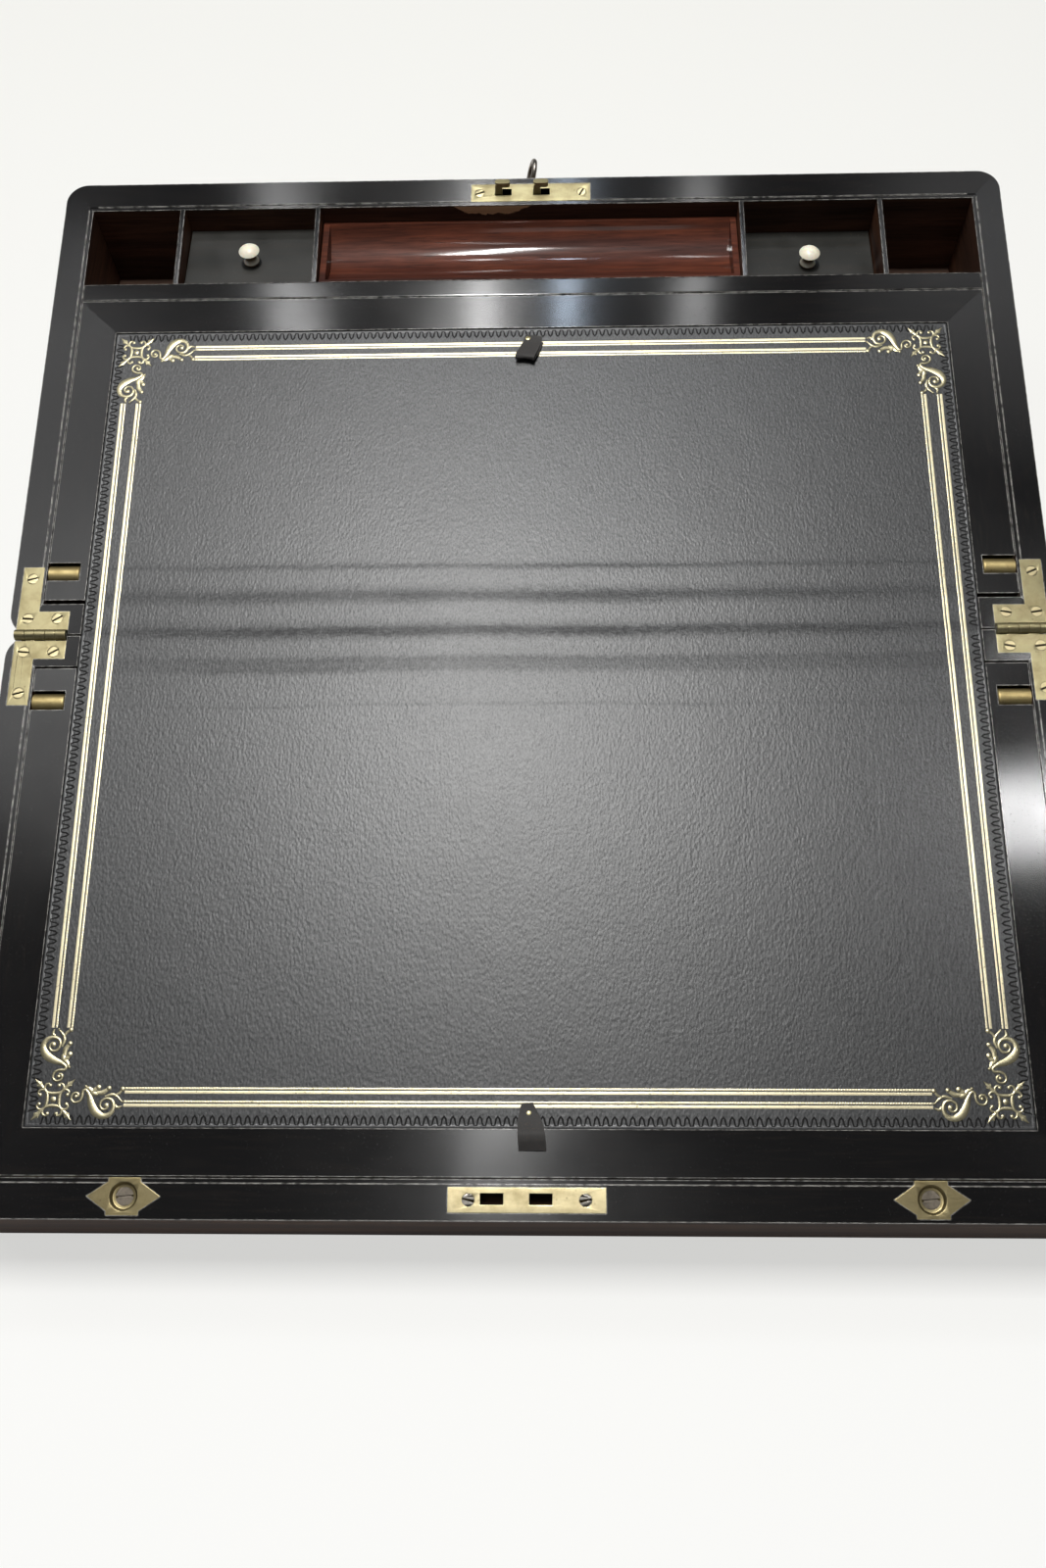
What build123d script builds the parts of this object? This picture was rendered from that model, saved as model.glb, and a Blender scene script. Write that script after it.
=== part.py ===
"""Victorian writing slope, opened flat: a rectangular box parted on a sloping plane.

The base (+Y side, high at the back) holds the pen and ink compartments and a paper store
under the upper flap. The lid (-Y side) folds over it on two brass knuckle hinges and holds
a second paper store under the lower flap. Millimetres, +Z up.

While modelling, Y is measured from the fold line. On export everything is moved back by
half the base's depth, so the origin is the centre of the base's underside.

Places on the sloping plane are given as (x, v, w): x along the fold, v up the slope from
the fold line, w square to the slope.
"""

import os
from math import asin, cos, radians, sin, sqrt, tan

from build123d import *

# ---- driving dimensions -------------------------------------------------------------

outer_length = 400.0  # along the fold
outer_depth = 212.0  # fold line to outer face, the same for base and lid
slope_angle = 7.0  # degrees
fold_height = 68.0  # hinge axis above the table; the closed box is twice this
corner_radius = 9.0  # every upright corner

side_wall = 12.0
end_wall = 13.4  # back of the base, front of the lid
hinge_wall = 12.6  # the two walls that meet at the fold
base_panel = 6.0
lid_panel = 8.0
lid_panel_edge_radius = 1.5
baize_thickness = 0.8

rim_clearance = 0.1  # rims lie this far under the hinge axis, so they meet without binding
fold_clearance = 0.4  # each hinge wall stops this far from the fold line
bead_width = 1.7  # shallow step round the inner edge of the rims
bead_depth = 0.35

flap_thickness = 8.0
flap_side_gap = 0.5
flap_end_gap = 0.5
flap_border = 15.8  # bare wood left round the leather
flap_pivot_distance = 27.0  # fold line to pivot axis, measured on the slope
upper_flap_nose = 12.2  # pivot axis to the flap's edge nearest the fold
lower_flap_nose = 13.0
nose_sweep_clearance = 0.35  # cove in the lid's hinge wall round the lower flap's nose
barrel_diameter = 7.7
barrel_length = 12.5
barrel_end_inset = 0.6  # from the side wall's inner face
barrel_nose_radius = 1.2
flap_pin_diameter = 3.0
flap_pin_in_wall = 3.8
flap_pin_in_barrel = 8.0
running_clearance = 0.05

leather_thickness = 1.1
leather_recess = 1.6
leather_margin = 0.2
tab_width = 9.5
tab_length = 14.0
tab_thickness = 0.6
tab_corner_radius = 1.0
upper_tab_edge_distance = 3.7  # leather recess edge to the tab's nailed end
lower_tab_overhang = 7.4  # how far the tab's loose end reaches past the leather
lower_tab_x = 1.4
tab_step = 1.2  # the tab lifts off the leather this far before the wood
tack_head_diameter = 3.0
tack_head_height = 0.35
tack_shank_diameter = 1.0
tack_length = 6.0
tack_from_tab_end = 1.8

well_length = 38.1  # compartments, front to back
well_width = 38.0
well_depth = 39.0  # below the back rim's inner edge
covered_well_width = 56.5
partition_thickness = 2.0
partition_housing = 1.0  # depth of the groove each partition stands in
compartment_wall = 8.0  # its top is the rail between compartments and flap
well_floor_thickness = 4.0
left_cover_depth = 11.5  # below the back rim's inner edge
right_cover_depth = 17.0
cover_thickness = 4.0
cover_gap = 0.4
cover_ledge_width = 3.0
cover_ledge_height = 3.0
flap_ledge_width = 6.5
flap_ledge_height = 4.0
flap_ledge_gap = 0.1
knob_head_diameter = 8.8
knob_head_height = 3.6
knob_neck_diameter = 4.4
knob_neck_height = 3.4
knob_foot_diameter = 6.6
knob_foot_height = 1.0
knob_tenon_diameter = 3.0
knob_foot_edge_height = 0.6  # upright part of the foot's edge
knob_widest_height = 1.44  # widest part of the head above the neck
tray_height = 13.0
tray_top_depth = 8.2
tray_end_wall = 2.6
tray_front_lip = 4.2
tray_back_lip = 1.2
tray_scoop_depth = 8.4

leaf_thickness = 1.5
leaf_inset = 3.0  # outer side face to leaf
leaf_arm_width = 8.0
leaf_foot_width = 20.0
leaf_arm_reach = 28.9  # along v from the fold line
leaf_foot_reach = 9.9
knuckle_diameter = 4.3
knuckle_count = 5
knuckle_gap = 0.12
knuckle_clearance = 0.2  # radial, to the groove in the wood
hinge_pin_diameter = 1.7
hinge_screw_places = [(3.9, 24.0), (3.9, 7.0), (15.4, 7.0)]  # from the leaf's outer edge, v
hinge_screw_angles = [25, 8, -12, 15, -5, 32]  # how far each slot is turned

screw_head_diameter = 4.6
screw_head_height = 1.5
screw_shank_diameter = 2.0
screw_length = 11.0
screw_slot_width = 0.7
screw_slot_depth = 0.55

lock_x = 0.8  # lock centre to box centre
lock_plate_length = 51.0
lock_plate_width = 9.0
lock_plate_thickness = 2.0
lock_plate_inset = 1.6  # wall's inner face to the plate's edge
lock_screw_spread = 21.8
lock_screw_head_diameter = 4.2
lock_slot_length = 7.1
lock_slot_width = 3.4
hook_places = (-11.75, 4.65)  # slot centres from the lock centre
bolt_inset = 7.0  # outer face to the bolt's middle
hook_thickness = 2.4
hook_stem_width = 3.0
hook_head_length = 6.3
hook_head_height = 2.3
hook_height = 5.5  # above the rim
hook_end_gap = 0.2
bolt_travel = 3.25
bolt_bottom = 3.6  # above the key's axis
bolt_top = 9.8
bolt_left_end = 16.3
bolt_right_end = 13.3
case_half_length = 19.4
case_wall = 1.0
case_inner_width = 4.4
case_below_key = 8.2
key_axis_depth = 13.5  # below the rim
key_rest_angle = 15.0  # how far the key has been turned from the keyhole's slot
key_shank_diameter = 4.6
key_pipe_diameter = 2.1
key_pipe_depth = 7.0
key_bit_radius = 6.0
key_bit_thickness = 2.2
key_bit_gap = 0.7  # bit to the case's inner faces
key_sweep_clearance = 0.4
key_out_of_wall = 13.0  # wall to the collar's far side
key_collar_diameter = 6.8
key_collar_length = 2.2
key_bow_length = 13.0
key_bow_width = 14.0
key_bow_wire = 2.2
key_bow_sunk = 0.8  # how far the bow's wire runs into the collar
keyhole_clearance = 0.4
keyhole_slot_width = 3.2
keyhole_slot_reach = 6.8
liner_thickness = 1.1

strike_length = 53.0
strike_width = 8.3
strike_thickness = 1.8
strike_edge_distance = 2.6  # outer face to the plate's edge, on the slope
strike_slot_length = 7.7
strike_slot_width = 3.7
strike_screw_spread = 19.6
strike_pocket_depth = 8.0
strike_pocket_width = 5.0

front_plate_from_side = 65.2  # outer side face to the plate's centre
front_plate_length = 25.0
front_block_length = 11.0
front_plate_width = 12.2
front_plate_shoulder = 1.4  # how far the block stands beyond the diamond's sides
front_plate_thickness = 1.6
front_recess_diameter = 8.2
front_recess_depth = 1.5
front_recess_chamfer = 0.7
front_boss_wall = 1.1
front_boss_floor = 1.8
front_screw_head_diameter = 6.2
front_screw_angle = 5

# ---- sizes that follow --------------------------------------------------------------

half_length = outer_length / 2
inner_half_length = half_length - side_wall
inner_end = outer_depth - end_wall  # level distance from the fold to the end walls
hook_distance = outer_depth - bolt_inset  # fold line to the bolt's middle, level
tilt = radians(slope_angle)
slope_reach = outer_depth / cos(tilt)
flap_half_length = inner_half_length - flap_side_gap
leather_half_length = flap_half_length - flap_border
barrel_drop = barrel_diameter / 2 + rim_clearance  # slope plane to the pivot axis
compartment_back = inner_end
compartment_front = inner_end - well_length
flap_wall_face = compartment_front - compartment_wall
upper_flap_edge = flap_pivot_distance - upper_flap_nose
lower_flap_edge = flap_pivot_distance - lower_flap_nose
upper_leather_end = flap_wall_face / cos(tilt) - flap_end_gap - flap_border
lower_flap_end = inner_end / cos(tilt) - flap_end_gap
lower_leather_end = lower_flap_end - flap_border
leather_top = -rim_clearance - leather_recess + leather_thickness
back_rim_height = fold_height + inner_end * tan(tilt)
floor_top = back_rim_height - well_depth
base_panel_top = baize_thickness + base_panel
key_x = lock_x
key_height = fold_height + hook_distance * tan(tilt) - key_axis_depth
case_front = hook_distance - case_inner_width / 2 - case_wall
case_back = hook_distance + case_inner_width / 2 + case_wall
strike_v = -(slope_reach - strike_edge_distance - strike_width / 2)
front_plate_x = half_length - front_plate_from_side
front_plate_v = -(slope_reach - end_wall / cos(tilt) + front_plate_width / 2)
outer_partition_x = inner_half_length - well_width - partition_thickness / 2
inner_partition_x = outer_partition_x - partition_thickness - covered_well_width
far = 2 * outer_length  # longer than anything it has to cut

slope = Plane(
    origin=(0, 0, fold_height), x_dir=(1, 0, 0), z_dir=(0, -sin(tilt), cos(tilt))
).location


# ---- helpers ------------------------------------------------------------------------


def block(x0, x1, y0, y1, z0, z1):
    """A box between two corners."""
    middle = Pos((x0 + x1) / 2, (y0 + y1) / 2, (z0 + z1) / 2)
    return middle * Box(abs(x1 - x0), abs(y1 - y0), abs(z1 - z0))


def slope_block(x0, x1, v0, v1, w0, w1):
    """A box between two corners given on the sloping plane."""
    return slope * block(x0, x1, v0, v1, w0, w1)


def above_slope(w):
    """Everything over the level w, for trimming."""
    return slope_block(-far, far, -far, far, w, w + far)


def level_rod(x0, x1, v, w, diameter):
    """A cylinder along X whose axis stands at (v, w) on the slope."""
    rod = Rot(0, 90, 0) * Cylinder(diameter / 2, abs(x1 - x0))
    return slope * Pos((x0 + x1) / 2, v, w) * rod


def rounded_plan(near, end, height):
    """The outline of base or lid, from the fold side to the end, extruded upwards."""
    plan = RectangleRounded(outer_length, abs(end - near), corner_radius)
    return extrude(Pos(0, (near + end) / 2) * plan, amount=height)


def prism(points, z0, z1):
    """An upright prism over a plan polygon."""
    return Pos(0, 0, z0) * extrude(make_face(Polyline(points, close=True)), amount=z1 - z0)


def mirrored(piece):
    """The same piece on the other side of the box."""
    return mirror(piece, about=Plane.YZ)


def screw(head_diameter, angle, slotted=True):
    """A countersunk wood screw, its head flush with z = 0 and its shank downwards."""
    head = Pos(0, 0, -screw_head_height / 2) * Cone(
        screw_shank_diameter / 2, head_diameter / 2, screw_head_height
    )
    shank_length = screw_length - screw_head_height
    shank = Pos(0, 0, -screw_head_height - shank_length / 2) * Cylinder(
        screw_shank_diameter / 2, shank_length
    )
    body = head + shank
    if slotted:
        slot = Box(head_diameter + 1, screw_slot_width, 2 * screw_slot_depth)
        body -= Rot(0, 0, angle) * slot
    return body


def screws_at(places, head_diameter, angles, slotted=True, level=-rim_clearance):
    """Screws whose heads lie flush in the slope at the (x, v) places."""
    return [
        slope * Pos(x, v, level) * screw(head_diameter, angle, slotted)
        for (x, v), angle in zip(places, angles)
    ]


def minus_all(piece, cutters):
    """The piece with every cutter taken out of it."""
    for cutter in cutters:
        piece -= cutter
    return piece


# ---- brass hinges -------------------------------------------------------------------

leaf_outer_x = half_length - leaf_inset
leaf_inner_x = leaf_outer_x - leaf_foot_width
knuckle_pitch = leaf_foot_width / knuckle_count


def hinge_leaf(side, knuckles):
    """An L-shaped leaf let into the rim at +X, with its share of the knuckles.

    side is +1 for the base and -1 for the lid, which lies on the other side of the fold.
    """
    top = -rim_clearance
    bottom = top - leaf_thickness
    clear = knuckle_diameter / 2 + knuckle_clearance
    arm = slope_block(
        leaf_outer_x - leaf_arm_width, leaf_outer_x,
        side * clear, side * leaf_arm_reach, bottom, top,
    )
    foot = slope_block(
        leaf_inner_x, leaf_outer_x, side * clear, side * leaf_foot_reach, bottom, top
    )
    leaf = arm + foot
    for number in knuckles:
        start = leaf_inner_x + number * knuckle_pitch + knuckle_gap / 2
        end = start + knuckle_pitch - knuckle_gap
        leaf += level_rod(start, end, 0, 0, knuckle_diameter)
        leaf += slope_block(start, end, 0, side * clear, bottom, top)
    pin_hole = hinge_pin_diameter + 2 * running_clearance
    leaf -= level_rod(leaf_inner_x - 1, leaf_outer_x + 1, 0, 0, pin_hole)
    return leaf


def hinge_screw_spots(side):
    """The (x, v) places of one half's six hinge screws, right side first."""
    right = [(leaf_outer_x - inward, side * v) for inward, v in hinge_screw_places]
    return right + [(-x, v) for x, v in right]


def hinge_cutters(side):
    """What the hinges take out of the wood of one half: leaf beds and knuckle grooves."""
    cutters = []
    groove = knuckle_diameter + 2 * knuckle_clearance
    bed_bottom = -rim_clearance - leaf_thickness
    for sign in (1, -1):
        outer = sign * leaf_outer_x
        cutters.append(
            slope_block(
                outer - sign * leaf_arm_width, outer, 0, side * leaf_arm_reach, bed_bottom, 1
            )
        )
        cutters.append(
            slope_block(
                outer - sign * leaf_foot_width, outer, 0, side * leaf_foot_reach, bed_bottom, 1
            )
        )
        inner_end_x = sign * (leaf_inner_x - knuckle_gap)
        cutters.append(level_rod(inner_end_x, sign * half_length, 0, 0, groove))
    return cutters


# ---- carcass boards -----------------------------------------------------------------


def carcass_boards(side, z0):
    """The four mitred walls of base (side +1) or lid (side -1), trimmed to the slope."""
    near = side * fold_clearance
    end = side * outer_depth
    near_inner = near + side * hinge_wall
    end_inner = side * inner_end
    outer, inner = half_length, inner_half_length
    plan = Pos(0, 0, z0) * rounded_plan(near, end, 2 * fold_height)
    plan -= above_slope(-rim_clearance)
    footprints = {
        "hinge_wall": [(-outer, near), (outer, near), (inner, near_inner), (-inner, near_inner)],
        "end_wall": [(-outer, end), (outer, end), (inner, end_inner), (-inner, end_inner)],
        "left_wall": [(-outer, near), (-inner, near_inner), (-inner, end_inner), (-outer, end)],
        "right_wall": [(outer, near), (inner, near_inner), (inner, end_inner), (outer, end)],
    }
    bead = slope_block(
        -inner - bead_width, inner + bead_width,
        side * flap_pivot_distance / 2, side * (inner_end / cos(tilt) + bead_width),
        -rim_clearance - bead_depth, 1,
    )
    screws = screws_at(
        hinge_screw_spots(side), screw_head_diameter, [0] * 6, slotted=False
    )
    pin_holes = flap_pins(side)
    boards = {}
    for name, points in footprints.items():
        board = plan & prism(points, 0, 2 * fold_height)
        cutters = hinge_cutters(side) + screws + pin_holes
        if name != "hinge_wall":
            cutters.append(bead)
        boards[name] = minus_all(board, cutters)
    boards["hinge_wall"] -= fold_leather_bed(side)
    return boards


def fold_leather_bed(side):
    """The recess in a hinge wall's top that carries the leather over the fold."""
    return slope_block(
        -leather_half_length, leather_half_length, 0, side * flap_pivot_distance,
        -rim_clearance - leather_recess, 1,
    )


def fold_leather(side):
    """The strip of leather glued on a hinge wall's top."""
    half = leather_half_length - leather_margin
    start = side * fold_clearance
    end = side * (fold_clearance + hinge_wall)
    bottom = -rim_clearance - leather_recess
    strip = slope_block(-half, half, start, end, bottom, leather_top)
    edge = block(-far, far, end, side * far, 0, far)
    return strip - edge


def flap_pins(side):
    """The two steel pins that a flap turns on, fixed in the side walls."""
    wall = inner_half_length
    outer_x = wall + flap_pin_in_wall
    inner_x = wall - barrel_end_inset - flap_pin_in_barrel
    v = side * flap_pivot_distance
    return [
        level_rod(sign * inner_x, sign * outer_x, v, -barrel_drop, flap_pin_diameter)
        for sign in (1, -1)
    ]


# ---- flaps --------------------------------------------------------------------------


def flap_barrels(side):
    """Two brass barrels let into the flap's corners, bored for the pins."""
    outer_x = inner_half_length - barrel_end_inset
    inner_x = outer_x - barrel_length
    v = side * flap_pivot_distance
    bore_diameter = flap_pin_diameter + 2 * running_clearance
    barrel = Rot(0, 90, 0) * Cylinder(barrel_diameter / 2, barrel_length)
    inner_rim = barrel.edges().sort_by(Axis.X)[0]
    barrel = fillet(inner_rim, barrel_nose_radius)
    bore = Rot(0, 90, 0) * Cylinder(bore_diameter / 2, flap_pin_in_barrel + 1)
    barrel -= Pos(barrel_length / 2 - (flap_pin_in_barrel + 1) / 2, 0, 0) * bore
    right = slope * Pos((outer_x + inner_x) / 2, v, -barrel_drop) * barrel
    return [right, mirrored(right)]


def barrel_beds(side):
    """Round-bottomed slots in the flap for its barrels, open at the top and side."""
    inner_x = inner_half_length - barrel_end_inset - barrel_length
    v = side * flap_pivot_distance
    half = barrel_diameter / 2
    beds = []
    for sign in (1, -1):
        x0, x1 = sign * inner_x, sign * half_length
        beds.append(level_rod(x0, x1, v, -barrel_drop, barrel_diameter))
        beds.append(slope_block(x0, x1, v - half, v + half, -barrel_drop, 1))
    return beds


upper_tab_v = upper_leather_end - upper_tab_edge_distance - tab_length / 2
lower_tab_v = -(lower_leather_end + lower_tab_overhang - tab_length / 2)


def pull_tab(x, v, raised_from):
    """A leather tongue on the flap's leather; past raised_from it lies on the wood."""
    outline = RectangleRounded(tab_width, tab_length, tab_corner_radius)
    tab = slope * Pos(x, v, leather_top) * extrude(outline, amount=tab_thickness)
    if raised_from is not None:
        raised = slope * Pos(x, v, -rim_clearance) * extrude(outline, amount=tab_thickness)
        tab += raised - slope_block(-far, far, raised_from, far, -1, 1)
    return tab


def tab_tack(x, v):
    """A small domed brass tack through a tab's upper end into the flap."""
    top = leather_top + tab_thickness
    radius = tack_head_diameter / 2
    dome_radius = (radius**2 + tack_head_height**2) / (2 * tack_head_height)
    dome = Pos(0, 0, tack_head_height - dome_radius) * Sphere(dome_radius)
    dome &= Pos(0, 0, tack_head_height / 2) * Cylinder(radius, tack_head_height)
    shank = Pos(0, 0, -tack_length / 2) * Cylinder(tack_shank_diameter / 2, tack_length)
    place = v + tab_length / 2 - tack_from_tab_end
    return slope * Pos(x, place, top) * (dome + shank)


def flap(edge, end, leather_end, side, end_trim, tab, tack):
    """Board, leather and tab of one flap, between edge and end on the slope."""
    bottom = -rim_clearance - flap_thickness
    board = slope_block(
        -flap_half_length, flap_half_length, side * edge, side * end, bottom, -rim_clearance
    )
    board -= slope_block(
        -leather_half_length, leather_half_length, 0, side * leather_end,
        -rim_clearance - leather_recess, 1,
    )
    board = minus_all(board, barrel_beds(side))
    if end_trim:
        board -= end_trim
    half = leather_half_length - leather_margin
    leather = slope_block(
        -half, half, side * flap_pivot_distance, side * (leather_end - leather_margin),
        -rim_clearance - leather_recess, leather_top,
    )
    return board - tack, leather - tack, tab - board - tack


# ---- compartments -------------------------------------------------------------------


def partition(x):
    """A thin partition centred on x, from its groove in the false floor to the rim."""
    half = partition_thickness / 2
    slab = block(
        x - half, x + half, compartment_front, compartment_back,
        floor_top - partition_housing, 2 * fold_height,
    )
    return slab - above_slope(-rim_clearance)


def dome_arc(radius, edge, top):
    """An arc from a rim at (radius, edge) up to (0, top), level where it meets the axis."""
    rise = top - edge
    sphere_radius = (radius**2 + rise**2) / (2 * rise)
    half_angle = asin(radius / sphere_radius) / 2
    middle = (
        sphere_radius * sin(half_angle),
        top - sphere_radius * (1 - cos(half_angle)),
    )
    return ThreePointArc((radius, edge), middle, (0, top))


covered_middle_x = (outer_partition_x + inner_partition_x) / 2
compartment_middle_y = (compartment_front + compartment_back) / 2


def cover(x, depth):
    """A loose board that closes a covered well, with a hole for its knob."""
    top = back_rim_height - depth
    half = covered_well_width / 2 - cover_gap
    board = block(
        x - half, x + half, compartment_front + cover_gap, compartment_back - cover_gap,
        top - cover_thickness, top,
    )
    hole = Cylinder(knob_tenon_diameter / 2, cover_thickness)
    return board - Pos(x, compartment_middle_y, top - cover_thickness / 2) * hole


def knob(x, depth):
    """A turned bone knob: tenon, foot, waisted neck and domed head, revolved about Z."""
    top = back_rim_height - depth
    neck_top = knob_foot_height + knob_neck_height
    edge = neck_top + knob_widest_height
    profile = Polyline(
        (0, -cover_thickness), (knob_tenon_diameter / 2, -cover_thickness),
        (knob_tenon_diameter / 2, 0), (knob_foot_diameter / 2, 0),
        (knob_foot_diameter / 2, knob_foot_edge_height),
    )
    waist = ThreePointArc(
        (knob_foot_diameter / 2, knob_foot_edge_height),
        (knob_neck_diameter / 2, (knob_foot_height + neck_top) / 2),
        (knob_head_diameter / 2, edge),
    )
    crown_top = neck_top + knob_head_height
    crown = dome_arc(knob_head_diameter / 2, edge, crown_top)
    axis_line = Line((0, crown_top), (0, -cover_thickness))
    face = Plane.XZ * make_face([*profile.edges(), waist, crown, axis_line])
    return Pos(x, compartment_middle_y, top) * revolve(face, Axis.Z)


def pen_tray():
    """A shallow lift-out tray, scooped lengthwise to a hollow arc."""
    top = back_rim_height - tray_top_depth
    half = inner_partition_x - partition_thickness / 2 - cover_gap
    front = compartment_front + cover_gap
    back = compartment_back - cover_gap
    body = block(-half, half, front, back, top - tray_height, top)
    scoop_front = front + tray_front_lip
    scoop_back = back - tray_back_lip
    scoop_middle = (scoop_front + scoop_back) / 2
    arc = ThreePointArc(
        (scoop_front, top), (scoop_middle, top - tray_scoop_depth), (scoop_back, top)
    )
    section = make_face([arc, Line((scoop_back, top), (scoop_front, top))])
    length = 2 * (half - tray_end_wall)
    scoop = extrude(Plane.YZ.offset(-length / 2) * section, amount=length)
    return body - scoop


def cover_ledges():
    """Strips on the partitions that carry the two loose covers."""
    strips = []
    for side, depth in ((-1, left_cover_depth), (1, right_cover_depth)):
        top = back_rim_height - depth - cover_thickness
        for x, inward in (
            (inner_partition_x + partition_thickness / 2, 1),
            (outer_partition_x - partition_thickness / 2, -1),
        ):
            x0, x1 = side * x, side * (x + inward * cover_ledge_width)
            strips.append(
                block(x0, x1, compartment_front, compartment_back,
                      top - cover_ledge_height, top)
            )
    return strips


def tray_ledges():
    """Strips on the inner partitions that carry the pen tray."""
    top = back_rim_height - tray_top_depth - tray_height
    x = inner_partition_x - partition_thickness / 2
    return [
        block(sign * x, sign * (x - cover_ledge_width), compartment_front,
              compartment_back, top - cover_ledge_height, top)
        for sign in (1, -1)
    ]


def flap_ledge(side, wall_face):
    """A strip on the far wall that the flap's free edge rests on."""
    top = -rim_clearance - flap_thickness - flap_ledge_gap
    v = wall_face / cos(tilt)
    strip = slope_block(
        -leather_half_length, leather_half_length, side * (v - flap_ledge_width),
        side * (v + 2), top - flap_ledge_height, top,
    )
    return strip - block(-far, far, side * wall_face, side * far, 0, far)


# ---- lock and key -------------------------------------------------------------------


def lock_screw_spots():
    """The (x, v) places of the lock plate's screws."""
    v = lock_plate_middle()
    return [(lock_x - lock_screw_spread, v), (lock_x + lock_screw_spread, v)]


def lock_plate_middle():
    """v of the lock plate's centre line."""
    return inner_end / cos(tilt) + lock_plate_inset + lock_plate_width / 2


def lock_plate_blank():
    """The lock's selvedge before its slots and screw holes."""
    v = lock_plate_middle()
    half = lock_plate_width / 2
    return slope_block(
        lock_x - lock_plate_length / 2, lock_x + lock_plate_length / 2,
        v - half, v + half, -rim_clearance - lock_plate_thickness, -rim_clearance,
    )


def lock_plate():
    """The selvedge, flush in the back rim, slotted for the two hooks."""
    plate = lock_plate_blank()
    v = hook_distance / cos(tilt)
    for place in hook_places:
        x = lock_x + place
        plate -= slope_block(
            x - lock_slot_length / 2, x + lock_slot_length / 2,
            v - lock_slot_width / 2, v + lock_slot_width / 2, -far, far,
        )
    holes = screws_at(lock_screw_spots(), lock_screw_head_diameter, [0, 0], slotted=False)
    return minus_all(plate, holes)


def lock_case_blank():
    """The space the lock case takes in the back wall."""
    case = block(
        lock_x - case_half_length, lock_x + case_half_length, case_front, case_back,
        key_height - case_below_key - case_wall, 2 * fold_height,
    )
    return case - above_slope(-rim_clearance - lock_plate_thickness)


def keyhole(outline_grow, y0, y1):
    """A keyhole-shaped prism along Y: a round hole with a slot hanging from it."""
    radius = key_shank_diameter / 2 + keyhole_clearance + outline_grow
    slot_half = keyhole_slot_width / 2 + outline_grow
    reach = keyhole_slot_reach + outline_grow
    round_hole = Rot(90, 0, 0) * Cylinder(radius, y1 - y0)
    shape = Pos(key_x, (y0 + y1) / 2, key_height) * round_hole
    shape += block(
        key_x - slot_half, key_x + slot_half, y0, y1, key_height - reach, key_height
    )
    return shape


def lock_case():
    """An open-topped brass case with a keyhole and the pin that the pipe key turns on."""
    inner_front = case_front + case_wall
    inner_back = case_back - case_wall
    case = lock_case_blank()
    case -= block(
        lock_x - case_half_length + case_wall, lock_x + case_half_length - case_wall,
        inner_front, inner_back, key_height - case_below_key, far,
    )
    case -= keyhole(0, inner_back - 0.1, case_back + 1)
    pin_length = key_pipe_depth + key_bit_gap - 1
    pin = Rot(90, 0, 0) * Cylinder(key_pipe_diameter / 2 - running_clearance, pin_length)
    return case + Pos(key_x, inner_front + pin_length / 2, key_height) * pin


def hook_bolt():
    """A sliding bar with a talon over the key and two hooks that stand out of the rim."""
    y0 = hook_distance - hook_thickness / 2
    y1 = hook_distance + hook_thickness / 2
    bar = block(
        lock_x - bolt_left_end, lock_x + bolt_right_end, y0, y1,
        key_height + bolt_bottom, key_height + bolt_top,
    )
    sweep = key_bit_radius + key_sweep_clearance
    for shift in (0, -bolt_travel):
        round_cut = Rot(90, 0, 0) * Cylinder(sweep, hook_thickness + 2)
        bar -= Pos(key_x + shift, hook_distance, key_height) * round_cut
    bar -= block(
        key_x - bolt_travel, key_x, y0 - 1, y1 + 1, key_height, key_height + sweep
    )
    rim = key_height + key_axis_depth - rim_clearance
    for place in hook_places:
        left = lock_x + place - lock_slot_length / 2 + hook_end_gap
        bar += block(
            left, left + hook_stem_width, y0, y1,
            key_height + bolt_top - 1, rim + hook_height - 1,
        )
        head_plan = SlotOverall(hook_head_length, hook_thickness)
        head = extrude(head_plan, amount=hook_head_height)
        top = rim + hook_height
        bar += Pos(left + hook_head_length / 2, hook_distance, top - hook_head_height) * head
    return bar


def key():
    """A pipe key: bored shank, bit, collar and an oval bow, built along Y."""
    tip = case_front + case_wall + key_bit_gap
    shoulder = outer_depth + key_out_of_wall
    length = shoulder - tip
    shank = Rot(90, 0, 0) * Cylinder(key_shank_diameter / 2, length)
    body = Pos(0, tip + length / 2, 0) * shank
    collar = Rot(90, 0, 0) * Cylinder(key_collar_diameter / 2, key_collar_length)
    body += Pos(0, shoulder - key_collar_length / 2, 0) * collar
    bit_end = case_back - case_wall - key_bit_gap
    half = key_bit_thickness / 2
    body += block(-half, half, tip, bit_end, -key_bit_radius, 0)
    wire_radius = key_bow_wire / 2
    loop = Plane.YZ * Ellipse(
        key_bow_length / 2 - wire_radius, key_bow_width / 2 - wire_radius
    ).edge()
    bow = sweep(Plane(origin=loop @ 0, z_dir=loop % 0) * Circle(wire_radius), path=loop)
    bow_middle = shoulder + key_bow_length / 2 - key_bow_sunk
    body += Pos(0, bow_middle, 0) * bow
    pipe = Rot(90, 0, 0) * Cylinder(key_pipe_diameter / 2, key_pipe_depth)
    body -= Pos(0, tip + key_pipe_depth / 2, 0) * pipe
    return Pos(key_x, 0, key_height) * (Rot(0, key_rest_angle, 0) * body)


def strike_screw_spots():
    """The (x, v) places of the strike plate's screws."""
    return [(lock_x + sign * strike_screw_spread, strike_v) for sign in (-1, 1)]


def strike_plate_blank():
    """The lid's strike plate before its slots and screw holes."""
    half = strike_width / 2
    return slope_block(
        lock_x - strike_length / 2, lock_x + strike_length / 2,
        strike_v - half, strike_v + half, -rim_clearance - strike_thickness, -rim_clearance,
    )


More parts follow.
